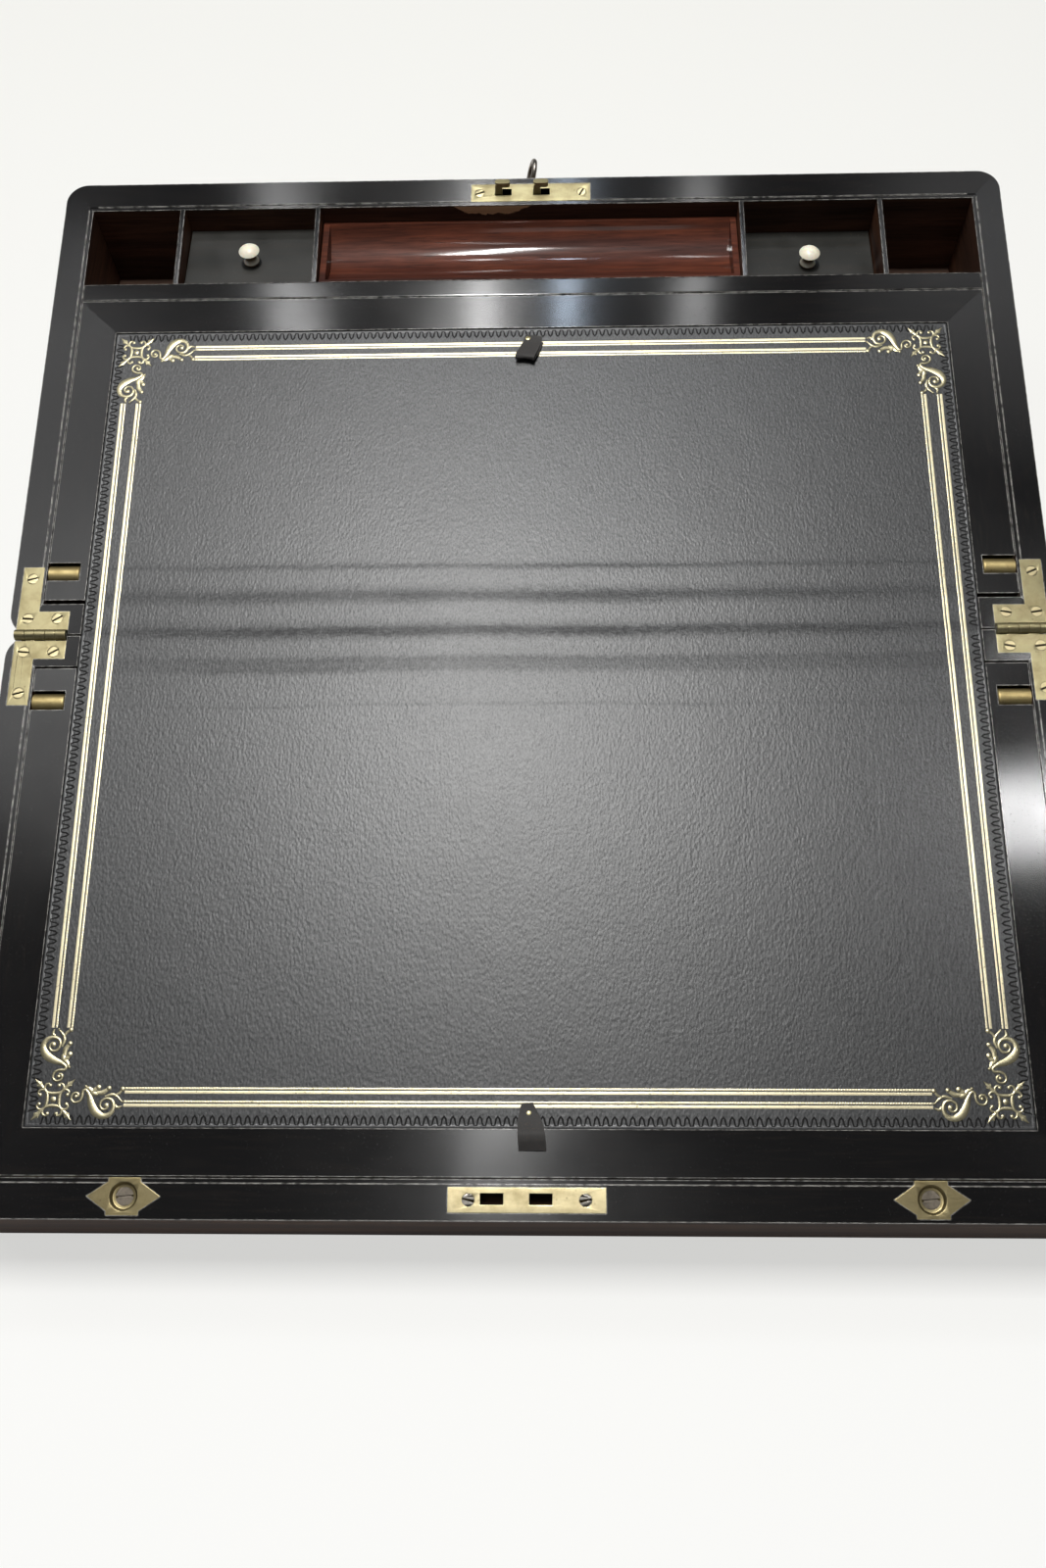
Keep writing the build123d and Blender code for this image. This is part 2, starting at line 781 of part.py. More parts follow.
def strike_slots(depth, grow_x=0.0, width=strike_slot_width):
    """The openings that the hooks enter when the lid is shut."""
    v = -hook_distance / cos(tilt)
    slots = []
    for place in hook_places:
        left = lock_x + place - lock_slot_length / 2 + hook_end_gap
        x = left + hook_head_length / 2 + hook_end_gap
        half = strike_slot_length / 2
        slots.append(
            slope_block(
                x - half, x + half + grow_x, v - width / 2, v + width / 2, -depth, 1
            )
        )
    return slots


def strike_plate():
    """The lid's strike plate, flush in the front rim."""
    holes = screws_at(strike_screw_spots(), lock_screw_head_diameter, [0, 0], slotted=False)
    return minus_all(strike_plate_blank(), strike_slots(far) + holes)


# ---- front plates -------------------------------------------------------------------


def front_plate_outline():
    """A diamond crossed by a square block."""
    half_width = front_plate_width / 2
    shoulder = half_width - front_plate_shoulder
    half_block = front_block_length / 2
    tip = front_plate_length / 2
    diamond = make_face(
        Polyline(
            [(-tip, 0), (-half_block, shoulder), (half_block, shoulder), (tip, 0),
             (half_block, -shoulder), (-half_block, -shoulder)],
            close=True,
        )
    )
    return diamond + Rectangle(front_block_length, front_plate_width)


def front_plate_blank():
    """Plate and the boss under it without their recess, top at z = 0."""
    plate = Pos(0, 0, -front_plate_thickness) * extrude(
        front_plate_outline(), amount=front_plate_thickness
    )
    height = front_recess_depth + front_boss_floor
    boss = Cylinder(front_recess_diameter / 2 + front_boss_wall, height)
    return plate + Pos(0, 0, -height / 2) * boss


def front_plate_screw(slotted=True):
    """The screw whose head lies in the floor of a front plate's recess."""
    body = screw(front_screw_head_diameter, front_screw_angle, slotted)
    return Pos(0, 0, -front_recess_depth) * body


def front_plate():
    """A brass plate let into the lid's front rim, with a shallow round recess."""
    radius = front_recess_diameter / 2
    recess = Pos(0, 0, -front_recess_depth / 2) * Cylinder(radius, front_recess_depth)
    mouth = Pos(0, 0, -front_recess_chamfer / 2) * Cone(
        radius, radius + front_recess_chamfer, front_recess_chamfer
    )
    return front_plate_blank() - recess - mouth - front_plate_screw(slotted=False)


def at_front_plates(piece):
    """The piece at the left and the right front plate."""
    return [
        slope * Pos(sign * front_plate_x, front_plate_v, -rim_clearance) * piece
        for sign in (-1, 1)
    ]


# ---- assembly -----------------------------------------------------------------------

nodes = {}

base = carcass_boards(1, baize_thickness)
lid = carcass_boards(-1, lid_panel)

liner_front = case_back
liner_hole = keyhole(0, liner_front, outer_depth + 1)
liner_body = keyhole(liner_thickness, liner_front, outer_depth)
back_wall = minus_all(base["end_wall"], [lock_plate_blank(), lock_case_blank()])
back_wall = minus_all(
    back_wall - keyhole(liner_thickness, liner_front, outer_depth + 1),
    screws_at(lock_screw_spots(), lock_screw_head_diameter, [0, 0], slotted=False),
)
nodes["base_back_wall"] = back_wall
nodes["base_hinge_wall"] = base["hinge_wall"]
nodes["base_left_wall"] = base["left_wall"]
nodes["base_right_wall"] = base["right_wall"]

panel_front = fold_clearance + hinge_wall
nodes["base_bottom"] = block(
    -inner_half_length, inner_half_length, panel_front, inner_end,
    baize_thickness, base_panel_top,
)
nodes["base_baize"] = rounded_plan(fold_clearance, outer_depth, baize_thickness)

nodes["compartment_front_wall"] = (
    block(
        -inner_half_length, inner_half_length, flap_wall_face, compartment_front,
        base_panel_top, 2 * fold_height,
    )
    - above_slope(-rim_clearance)
)
partitions = {
    "left_well_partition": partition(-outer_partition_x),
    "left_tray_partition": partition(-inner_partition_x),
    "right_tray_partition": partition(inner_partition_x),
    "right_well_partition": partition(outer_partition_x),
}
nodes["well_floor"] = minus_all(
    block(
        -inner_half_length, inner_half_length, compartment_front, compartment_back,
        floor_top - well_floor_thickness, floor_top,
    ),
    partitions.values(),
)
nodes.update(partitions)
nodes["cover_ledges"] = cover_ledges()
nodes["tray_ledges"] = tray_ledges()
nodes["left_cover"] = cover(-covered_middle_x, left_cover_depth)
nodes["right_cover"] = cover(covered_middle_x, right_cover_depth)
nodes["left_knob"] = knob(-covered_middle_x, left_cover_depth)
nodes["right_knob"] = knob(covered_middle_x, right_cover_depth)
nodes["pen_tray"] = pen_tray()
nodes["upper_flap_ledge"] = flap_ledge(1, flap_wall_face)
nodes["base_fold_leather"] = fold_leather(1)
nodes["base_flap_pins"] = flap_pins(1)

upper_end_trim = block(-far, far, flap_wall_face - flap_end_gap, far, 0, far)
upper_tack = tab_tack(0, upper_tab_v)
upper = flap(
    upper_flap_edge, flap_wall_face / cos(tilt) + 1, upper_leather_end, 1, upper_end_trim,
    pull_tab(0, upper_tab_v, None), upper_tack,
)
nodes["upper_flap_board"], nodes["upper_leather"], nodes["upper_pull_tab"] = upper
nodes["upper_tab_tack"] = upper_tack
nodes["upper_flap_barrels"] = flap_barrels(1)

lower_tack = tab_tack(lower_tab_x, lower_tab_v)
lower = flap(
    lower_flap_edge, lower_flap_end, lower_leather_end, -1, None,
    pull_tab(lower_tab_x, lower_tab_v, tab_step - lower_leather_end), lower_tack,
)
nodes["lower_flap_board"], nodes["lower_leather"], nodes["lower_pull_tab"] = lower
nodes["lower_tab_tack"] = lower_tack
nodes["lower_flap_barrels"] = flap_barrels(-1)

nodes["lock_plate"] = lock_plate()
nodes["lock_case"] = lock_case()
nodes["lock_plate_screws"] = screws_at(
    lock_screw_spots(), lock_screw_head_diameter, [20, 62]
)
nodes["keyhole_liner"] = liner_body - liner_hole
nodes["hook_bolt"] = hook_bolt()
nodes["key"] = key()

lid_outline = rounded_plan(-fold_clearance, -outer_depth, lid_panel)
lid_bottom_edges = lid_outline.edges().group_by(Axis.Z)[0]
nodes["lid_top_panel"] = fillet(lid_bottom_edges, lid_panel_edge_radius)
front_cutters = [strike_plate_blank()]
front_cutters += strike_slots(strike_pocket_depth, bolt_travel, strike_pocket_width)
front_cutters += screws_at(
    strike_screw_spots(), lock_screw_head_diameter, [0, 0], slotted=False
)
front_cutters += at_front_plates(front_plate_blank() + front_plate_screw(slotted=False))
nodes["lid_front_wall"] = minus_all(lid["end_wall"], front_cutters)
cove_radius = sqrt(lower_flap_nose**2 + (flap_thickness - barrel_diameter / 2) ** 2)
nose_cove = level_rod(
    -inner_half_length, inner_half_length, -flap_pivot_distance, -barrel_drop,
    2 * (cove_radius + nose_sweep_clearance),
)
nodes["lid_hinge_wall"] = lid["hinge_wall"] - nose_cove
nodes["lid_left_wall"] = lid["left_wall"]
nodes["lid_right_wall"] = lid["right_wall"]
nodes["lower_flap_ledge"] = flap_ledge(-1, inner_end)
nodes["lid_fold_leather"] = fold_leather(-1) - nose_cove
nodes["lid_flap_pins"] = flap_pins(-1)
nodes["strike_plate"] = strike_plate()
nodes["strike_plate_screws"] = screws_at(
    strike_screw_spots(), lock_screw_head_diameter, [-15, 10]
)
nodes["left_front_plate"], nodes["right_front_plate"] = at_front_plates(front_plate())
nodes["front_plate_screws"] = at_front_plates(front_plate_screw())

for half_name, half_side, its_knuckles in (("base", 1, (0, 2, 4)), ("lid", -1, (1, 3))):
    spots = hinge_screw_spots(half_side)
    holes = screws_at(spots, screw_head_diameter, [0] * 6, slotted=False)
    right_leaf = minus_all(hinge_leaf(half_side, its_knuckles), holes)
    nodes[f"right_hinge_{half_name}_leaf"] = right_leaf
    nodes[f"left_hinge_{half_name}_leaf"] = mirrored(right_leaf)
    nodes[f"{half_name}_hinge_screws"] = screws_at(
        spots, screw_head_diameter, hinge_screw_angles
    )
nodes["hinge_pins"] = [
    level_rod(sign * leaf_inner_x, sign * leaf_outer_x, 0, 0, hinge_pin_diameter)
    for sign in (1, -1)
]

# ---- export -------------------------------------------------------------------------

to_origin = Pos(0, -outer_depth / 2, 0)

os.makedirs("parts", exist_ok=True)
for name, shape in nodes.items():
    pieces = shape if isinstance(shape, list) else [shape]
    solids = [to_origin * solid for piece in pieces for solid in piece.solids()]
    whole = solids[0] if len(solids) == 1 else Compound(solids)
    export_step(whole, f"parts/{name}.step")
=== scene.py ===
"""Writing slope, opened flat: finishes, leather, tooling, tabs and studio round the CAD frame.

Places on the writing surface are (x, v, w) in millimetres, as in the CAD source: x along
the fold, v up the slope from the fold line, w square to the slope.
"""

import math

import bpy
import numpy as np
from mathutils import Matrix, Vector


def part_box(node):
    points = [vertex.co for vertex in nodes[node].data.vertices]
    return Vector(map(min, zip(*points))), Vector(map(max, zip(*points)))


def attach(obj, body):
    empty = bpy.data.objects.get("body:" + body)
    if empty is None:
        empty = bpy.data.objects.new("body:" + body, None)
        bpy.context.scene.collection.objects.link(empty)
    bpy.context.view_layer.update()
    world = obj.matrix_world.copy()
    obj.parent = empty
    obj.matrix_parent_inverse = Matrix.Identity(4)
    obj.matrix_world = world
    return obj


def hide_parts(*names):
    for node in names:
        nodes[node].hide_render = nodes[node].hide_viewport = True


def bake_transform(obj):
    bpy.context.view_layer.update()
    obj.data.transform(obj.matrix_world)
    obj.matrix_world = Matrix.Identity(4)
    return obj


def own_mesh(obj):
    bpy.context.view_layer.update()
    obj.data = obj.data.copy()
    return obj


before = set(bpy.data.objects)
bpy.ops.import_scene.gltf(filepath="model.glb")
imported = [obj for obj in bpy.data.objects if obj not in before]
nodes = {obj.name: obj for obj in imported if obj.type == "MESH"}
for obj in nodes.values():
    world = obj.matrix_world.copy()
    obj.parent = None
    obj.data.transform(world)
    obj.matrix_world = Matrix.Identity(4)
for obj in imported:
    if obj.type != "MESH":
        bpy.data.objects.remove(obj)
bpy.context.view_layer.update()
scene = bpy.context.scene

# ---- the slope's own frame ----

MM = 0.001
TILT = math.radians(7.0)
FOLD_Y = -0.106
FOLD_Z = 0.068
SLOPE_UP = Vector((0, math.cos(TILT), math.sin(TILT)))
SLOPE_OUT = Vector((0, -math.sin(TILT), math.cos(TILT)))

# the leather sheet, and half the strip of it that bends across the fold
LEATHER_HALF = 171.5
LEATHER_BACK = 137.15
LEATHER_FRONT = -183.6
LEATHER_TOP = -0.6
LEATHER_BOTTOM = -1.69
FOLD_STRIP = 0.5

# the case, in frame metres
CASE_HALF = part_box("base_back_wall")[1][0]
CASE_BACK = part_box("base_back_wall")[1][1]
CASE_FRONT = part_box("lid_front_wall")[0][1]
SIDE_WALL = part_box("base_right_wall")[1][0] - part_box("base_right_wall")[0][0]
BACK_WALL = CASE_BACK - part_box("base_back_wall")[0][1]
FRONT_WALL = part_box("lid_front_wall")[1][1] - CASE_FRONT
LID_MIDDLE = 2 * FOLD_Y


def place_all(points):
    """Slope millimetres to frame metres, for an array of points."""
    p = np.asarray(points, float) * MM
    base = np.array((0.0, FOLD_Y, FOLD_Z))
    along, up, out = np.array((1, 0, 0)), np.array(SLOPE_UP), np.array(SLOPE_OUT)
    return base + p[:, :1] * along + p[:, 1:2] * up + p[:, 2:] * out


# degrees: a sharper turn is a corner
SHARP_ANGLE = 40


def new_mesh(name, points, faces, material):
    """An object from slope-millimetre points, smooth but for its corners."""
    mesh = bpy.data.meshes.new(name)
    mesh.from_pydata(place_all(points).tolist(), [], faces)
    mesh.validate()
    mesh.materials.append(material)
    mesh.polygons.foreach_set("use_smooth", [True] * len(mesh.polygons))
    mesh.set_sharp_from_angle(angle=math.radians(SHARP_ANGLE))
    obj = bpy.data.objects.new(name, mesh)
    scene.collection.objects.link(obj)
    return obj


# ---- node materials ----

# cosines of the turn at which an edge's mask starts and at which it is full
EDGE_TURN = (0.992, 0.90)
EDGE_SAMPLES = 4
# the case corners' mask fades between these distances short of the walls' inner faces
MITRE_FADE = (0.0006, 0.0002)


class Shader:
    """A node material under construction."""

    def __init__(self, name, **sockets):
        self.material = bpy.data.materials.new(name)
        self.material.use_nodes = True
        self.tree = self.material.node_tree
        self.bsdf = self.tree.nodes["Principled BSDF"]
        for socket, value in sockets.items():
            self.bsdf.inputs[socket.replace("_", " ")].default_value = value
        coordinates = self.node("ShaderNodeTexCoord").outputs
        self.place, self.facing = coordinates["Object"], coordinates["Normal"]

    def node(self, kind, inputs=(), **settings):
        """A new node; inputs are sockets to link or values to set."""
        made = self.tree.nodes.new(kind)
        for key, value in settings.items():
            setattr(made, key, value)
        for key, value in dict(inputs).items():
            self.feed(made.inputs[key], value)
        return made

    def feed(self, socket, value):
        if isinstance(value, bpy.types.NodeSocket):
            self.tree.links.new(value, socket)
        else:
            socket.default_value = value

    def stretched(self, scale):
        """Object coordinates, scaled."""
        made = self.node("ShaderNodeMapping", {"Vector": self.place, "Scale": scale})
        return made.outputs["Vector"]

    def noise(self, scale, detail=4.0, rough=0.55, warp=0.0, vector=None):
        made = self.node(
            "ShaderNodeTexNoise",
            {"Vector": vector or self.place, "Scale": scale, "Detail": detail,
             "Roughness": rough, "Distortion": warp},
        )
        return made.outputs["Fac"]

    def cells(self, scale, vector=None, feature="F1"):
        """Distance from the middle of the nearest cell."""
        made = self.node(
            "ShaderNodeTexVoronoi", {"Vector": vector or self.place, "Scale": scale},
            feature=feature,
        )
        return made.outputs["Distance"]

    def ramp(self, value, stops):
        """Colours or greys between stops of (position, colour)."""
        made = self.node("ShaderNodeValToRGB", {"Fac": value})
        elements = made.color_ramp.elements
        while len(elements) < len(stops):
            elements.new(0.5)
        for element, (position, colour) in zip(elements, stops):
            element.position = position
            if isinstance(colour, (int, float)):
                colour = (colour, colour, colour)
            element.color = (*colour, 1.0)
        return made.outputs["Color"]

    def sums(self, kind, a, b=0.0, clamp=False):
        made = self.node("ShaderNodeMath", {0: a, 1: b}, operation=kind, use_clamp=clamp)
        return made.outputs[0]

    def times(self, first, *others):
        """The product of all the values."""
        for other in others:
            first = self.sums("MULTIPLY", first, other)
        return first

    def in_mm(self, metres):
        return self.times(metres, 1 / MM)

    def remap(self, value, low, high, to_low=0.0, to_high=1.0):
        made = self.node(
            "ShaderNodeMapRange",
            {"Value": value, "From Min": low, "From Max": high, "To Min": to_low,
             "To Max": to_high},
        )
        return made.outputs["Result"]

    def spread(self, noise, low=0.0, high=1.0):
        """A noise's usual range, spread from low to high."""
        return self.remap(noise, 0.3, 0.7, low, high)

    def mix(self, share, a, b):
        """Colour a going over to colour b."""
        made = self.node("ShaderNodeMix", data_type="RGBA")
        for index, value in ((0, share), (6, a), (7, b)):
            if isinstance(value, tuple) and len(value) == 3:
                value = (*value, 1.0)
            self.feed(made.inputs[index], value)
        return made.outputs[2]

    def vectors(self, kind, a, b):
        return self.node("ShaderNodeVectorMath", {0: a, 1: b}, operation=kind).outputs

    def dot(self, a, b):
        return self.vectors("DOT_PRODUCT", a, b)["Value"]

    def shifted(self, offset):
        """Object coordinates, moved."""
        return self.vectors("ADD", self.place, offset)["Vector"]

    def from_fold(self, way):
        """Distance from the fold line along a direction, in millimetres."""
        return self.in_mm(self.dot(self.shifted((0, -FOLD_Y, -FOLD_Z)), tuple(way)))

    def slope_height(self):
        """Height over the writing surface, in millimetres."""
        return self.from_fold(SLOPE_OUT)

    def slope_run(self):
        """Distance up the slope from the fold line, in millimetres."""
        return self.from_fold(SLOPE_UP)

    def axis(self, name):
        return self.node("ShaderNodeSeparateXYZ", {"Vector": self.place}).outputs[name]

    def upright_bar(self):
        """1 on a flap's left and right bars, 0 on its top and bottom bars, mitred."""
        from_middle = self.in_mm(self.sums("ABSOLUTE", self.axis("X")))
        sideways = self.sums("SUBTRACT", from_middle, LEATHER_HALF)
        run = self.slope_run()
        lengthways = self.sums(
            "MAXIMUM", self.sums("SUBTRACT", run, LEATHER_BACK),
            self.sums("SUBTRACT", LEATHER_FRONT, run),
        )
        return self.sums("GREATER_THAN", sideways, lengthways)

    def brushed_along(self, along):
        """Fine scratches run along 'x', 'y' or a frame's bars: highlights spread across."""
        across = tuple(SLOPE_UP) if along == "x" else (1, 0, 0)
        if along == "frame":
            across = self.mix(self.upright_bar(), tuple(SLOPE_UP), (1, 0, 0))
        made = self.node(
            "ShaderNodeVectorTransform", {"Vector": across}, vector_type="VECTOR",
            convert_from="OBJECT", convert_to="WORLD",
        )
        self.feed(self.bsdf.inputs["Tangent"], made.outputs[0])

    def edges(self, reach):
        """1 within a reach in metres of an outside corner, else 0."""
        rounded = self.node("ShaderNodeBevel", {"Radius": reach}, samples=EDGE_SAMPLES)
        flat = self.node("ShaderNodeNewGeometry").outputs["True Normal"]
        return self.remap(self.dot(rounded.outputs["Normal"], flat), *EDGE_TURN)

    def off_mitres(self):
        """0 on the corners of the case, where two walls are mitred together, else 1."""
        def past(inward, wall):
            return self.remap(inward, *(wall - fade for fade in MITRE_FADE))

        across = self.sums("SUBTRACT", CASE_HALF, self.sums("ABSOLUTE", self.axis("X")))
        beside = past(across, SIDE_WALL)
        clear = 1.0
        for end, way, wall in ((CASE_BACK, -1.0, BACK_WALL), (CASE_FRONT, 1.0, FRONT_WALL)):
            inward = self.times(self.sums("SUBTRACT", self.axis("Y"), end), way)
            clear = self.times(clear, self.sums("MAXIMUM", beside, past(inward, wall)))
        return clear

    def bump(self, height, depth, strength=1.0, under=None):
        """A bump of a depth in metres."""
        inputs = {"Height": height, "Distance": depth, "Strength": strength}
        if under is not None:
            inputs["Normal"] = under
        return self.node("ShaderNodeBump", inputs).outputs["Normal"]

    def finish(self, **sockets):
        """Sets or links the surface's own sockets and gives the material."""
        for socket, value in sockets.items():
            if isinstance(value, tuple) and len(value) == 3:
                value = (*value, 1.0)
            self.feed(self.bsdf.inputs[socket.replace("_", " ")], value)
        return self.material


# scales that draw a grain out along x and along y
GRAIN = {"x": (0.06, 1, 1), "y": (1, 0.06, 1)}


def grain_vector(s, along):
    """Coordinates stretched along the grain: 'x', 'y' or round a frame."""
    if along == "frame":
        scale = s.mix(s.upright_bar(), GRAIN["x"], GRAIN["y"])
        return s.vectors("MULTIPLY", s.place, scale)["Vector"]
    return s.stretched(GRAIN[along])


def spots(s, scale, half_way, end, patches, start):
    """Small round spots that come in patches, at most 0.6, else 0."""
    dots = s.ramp(s.cells(scale), [(0.0, 1.0), (0.10, half_way), (end, 0.0)])
    return s.times(dots, s.ramp(s.noise(patches, 2), [(start, 0.0), (0.62, 1.0)]), 0.6)


# how far from an edge the polish is rubbed and a highlight is painted, in metres
EDGE_WEAR_AND_HIGHLIGHT = 0.00055


def black_polish(s, along):
    """Colour, roughness and bump of black-stained, polished wood, worn pale at its edges and
    painted with a highlight there.
    """
    flow = grain_vector(s, along)
    grain = s.noise(900, 5, 0.6, vector=flow)
    cloud = s.noise(18, 3)
    dust = s.ramp(s.noise(2400, 1, 0.4), [(0.0, 0.0), (0.71, 0.0), (0.76, 1.0)])
    patch = s.ramp(s.noise(30, 4), [(0.35, 0.0), (0.75, 1.0)])
    colour = s.mix(cloud, (0.0035, 0.0035, 0.004), (0.008, 0.0075, 0.0075))
    colour = s.mix(s.remap(grain, 0.5, 0.75), colour, (0.012, 0.010, 0.009))
    dusty = s.times(dust, patch, 0.4)
    colour = s.mix(dusty, colour, (0.12, 0.12, 0.115))
    # pale edges: partly rubbed polish, partly a painted highlight of light catching them, broken
    # into dashes
    chafed_and_glinting = s.ramp(s.noise(420, 4, 0.65), [(0.36, 0.12), (0.58, 1.0)])
    wear_and_highlight = s.times(s.edges(EDGE_WEAR_AND_HIGHLIGHT), chafed_and_glinting, s.off_mitres())
    colour = s.mix(wear_and_highlight, colour, (0.54, 0.52, 0.48))
    rough = s.spread(cloud, 0.15, 0.20)
    rough = s.sums("ADD", rough, s.times(s.sums("MAXIMUM", dusty, wear_and_highlight), 0.15))
    return colour, rough, s.bump(grain, 0.00002, 0.02)


def ebonised(name, along):
    """Black polished wood all over."""
    s = Shader(name, Anisotropic=0.92)
    s.brushed_along(along)
    colour, rough, normal = black_polish(s, along)
    return s.finish(Base_Color=colour, Roughness=rough, Normal=normal)


def rosewood(name, along, dark, mid, light, low, high, polish=0.0, shine=0.5):
    """Brown-red wood with dark streaks running along the grain."""
    s = Shader(name, Coat_Weight=polish, Coat_Roughness=0.08, Specular_IOR_Level=shine)
    flow = grain_vector(s, along)
    figure = s.noise(55, 5, 0.6, warp=0.9, vector=flow)
    fine = s.noise(700, 4, 0.65, vector=flow)
    pores = s.ramp(s.noise(1500, 2, 0.5, vector=flow), [(0.0, 0.0), (0.62, 0.0), (0.7, 1.0)])
    colour = s.ramp(figure, [(0.28, dark), (0.45, mid), (0.58, light), (0.74, dark)])
    colour = s.mix(s.remap(fine, 0.35, 0.7, 0.0, 0.7), colour, dark)
    colour = s.mix(s.times(pores, 0.6), colour, (0.006, 0.003, 0.002))
    cloud = s.noise(22, 3)
    colour = s.mix(s.spread(cloud, 0.0, 0.45), colour, dark)
    rough = s.spread(fine, low, high)
    normal = s.bump(s.sums("SUBTRACT", fine, s.times(pores, 0.5)), 0.00004, 0.5)
    return s.finish(Base_Color=colour, Roughness=rough, Normal=normal)


# the chip in the veneer under the lock, in slope millimetres
CHIP_FROM, CHIP_TO, CHIP_DEPTH = -34.6, 1.9, 5.2
CHIP_RAGGED = 1.2


def chipped_patch(s):
    """1 where a splinter of the inner veneer has come away under the lock, else 0."""
    ragged = s.spread(s.noise(170, 4, 0.6), -1.0, 1.0)
    middle, half = (CHIP_FROM + CHIP_TO) / 2, (CHIP_TO - CHIP_FROM) / 2
    along = s.sums("DIVIDE", s.sums("SUBTRACT", s.in_mm(s.axis("X")), middle), half)
    taper = s.sums("SUBTRACT", 1.0, s.sums("POWER", s.sums("ABSOLUTE", along), 2.5))
    depth = s.sums("ADD", s.times(taper, CHIP_DEPTH), s.times(ragged, CHIP_RAGGED))
    below_rim = s.times(s.slope_height(), -1.0)
    return s.remap(s.sums("SUBTRACT", depth, below_rim), 0.0, 0.4)


def case_wood(name, along, chip=False, veneered=True):
    """A case wall: black polished rim, figured veneer outside, red-brown wood inside."""
    s = Shader(name, Anisotropic=0.92)
    s.brushed_along(along)
    flow = grain_vector(s, along)
    figure = s.noise(38, 6, 0.6, warp=1.6, vector=flow)
    fine = s.noise(700, 4, 0.65, vector=flow)
    streaks = s.remap(fine, 0.4, 0.7, 0.0, 0.6)
    body = s.ramp(
        figure,
        [(0.30, (0.024, 0.012, 0.008)), (0.48, (0.075, 0.035, 0.021)),
         (0.60, (0.115, 0.052, 0.030)), (0.74, (0.032, 0.014, 0.010))],
    )
    body = s.mix(streaks, body, (0.008, 0.003, 0.002))
    if veneered:
        veneer = s.ramp(
            figure,
            [(0.30, (0.006, 0.003, 0.002)), (0.44, (0.035, 0.014, 0.007)),
             (0.52, (0.065, 0.028, 0.012)), (0.60, (0.022, 0.008, 0.004)),
             (0.72, (0.004, 0.002, 0.001))],
        )
        veneer = s.mix(streaks, veneer, (0.010, 0.004, 0.003))
        outward = s.dot(s.facing, s.shifted((0, -LID_MIDDLE if "lid" in name else 0.0, 0)))
        body = s.mix(s.remap(outward, 0.015, 0.035), body, veneer)
    rim = s.remap(s.slope_height(), -1.15, -0.75)
    if chip:
        body = s.mix(chipped_patch(s), body, s.mix(fine, (0.36, 0.21, 0.11), (0.80, 0.55, 0.32)))
    black, polished, normal = black_polish(s, along)
    colour = s.mix(rim, body, black)
    rough = s.sums("ADD", s.times(rim, polished), s.times(s.sums("SUBTRACT", 1.0, rim), 0.52))
    sheen = s.mix(rim, (0.30, 0.26, 0.24), (1, 1, 1))
    return s.finish(Base_Color=colour, Roughness=rough, Specular_Tint=sheen, Normal=normal)


def dusty_black(name):
    """A black-stained cover board, dull with dust and speckled."""
    s = Shader(name)
    flow = grain_vector(s, "x")
    grain = s.noise(600, 5, 0.6, vector=flow)
    cloud = s.noise(45, 4)
    colour = s.mix(cloud, (0.008, 0.009, 0.008), (0.024, 0.023, 0.019))
    colour = s.mix(s.remap(grain, 0.45, 0.7), colour, (0.020, 0.017, 0.013))
    colour = s.mix(spots(s, 900, 0.8, 0.17, 160, 0.50), colour, (0.16, 0.14, 0.09))
    rough = s.spread(cloud, 0.34, 0.52)
    return s.finish(Base_Color=colour, Roughness=rough, Normal=s.bump(grain, 0.00004, 0.5))


def brass(name, tint=(0.38, 0.335, 0.19), tarnish=0.7, paint_slot_shade=True, edge=1.8, edge_reach=0.0003,
          dull_by=0.0):
    """Old brass: brushed, tarnished in patches, lighter where rubbed at its edges, with painted
    shade in its slots; an edge factor under 1 paints the edges dark as shade instead.
    """
    s = Shader(name, Metallic=1.0)
    brush = s.noise(3200, 3, 0.6, vector=grain_vector(s, "x"))
    patch = s.noise(140, 5, 0.6)
    dull = (tint[0] * 0.50, tint[1] * 0.46, tint[2] * 0.40)
    colour = s.mix(s.remap(patch, 0.42, 0.72, 0.0, tarnish), tint, dull)
    colour = s.mix(spots(s, 420, 0.7, 0.2, 90, 0.48), colour, (0.10, 0.06, 0.025))
    # edge colour: lighter where the brass is rubbed; an edge factor under 1 paints the edges dark
    # as shade
    rubbed = tuple(min(edge * t, 0.95) for t in tint)
    colour = s.mix(s.times(s.edges(edge_reach), 0.8), colour, rubbed)
    if paint_slot_shade:
        # painted shade: dark below the surface, in slots and holes
        slot_shade_mask = s.remap(s.slope_height(), -0.55, -0.25)
        colour = s.mix(slot_shade_mask, (0.02, 0.014, 0.006), colour)
    rough = s.sums("ADD", s.spread(patch, 0.30 + dull_by, 0.46 + dull_by),
                   s.remap(brush, 0.35, 0.65, 0.0, 0.08))
    return s.finish(Base_Color=colour, Roughness=rough, Normal=s.bump(brush, 0.00002, 0.5))


def steel(name, tint, low, high, paint_screw_slot_shade=False):
    """Bare steel gone grey-brown with handling, with painted shade in a slot."""
    s = Shader(name, Metallic=1.0)
    patch = s.noise(260, 5, 0.65)
    pits = s.noise(1800, 3, 0.6)
    colour = s.mix(s.remap(patch, 0.4, 0.65), tint, tuple(0.45 * t for t in tint))
    if paint_screw_slot_shade:
        # painted shade: dark below the surface, in the slot
        colour = s.mix(s.remap(s.slope_height(), -0.5, -0.2), (0.02, 0.014, 0.006), colour)
    rough = s.spread(patch, low, high)
    return s.finish(Base_Color=colour, Roughness=rough, Normal=s.bump(pits, 0.00003, 0.5))


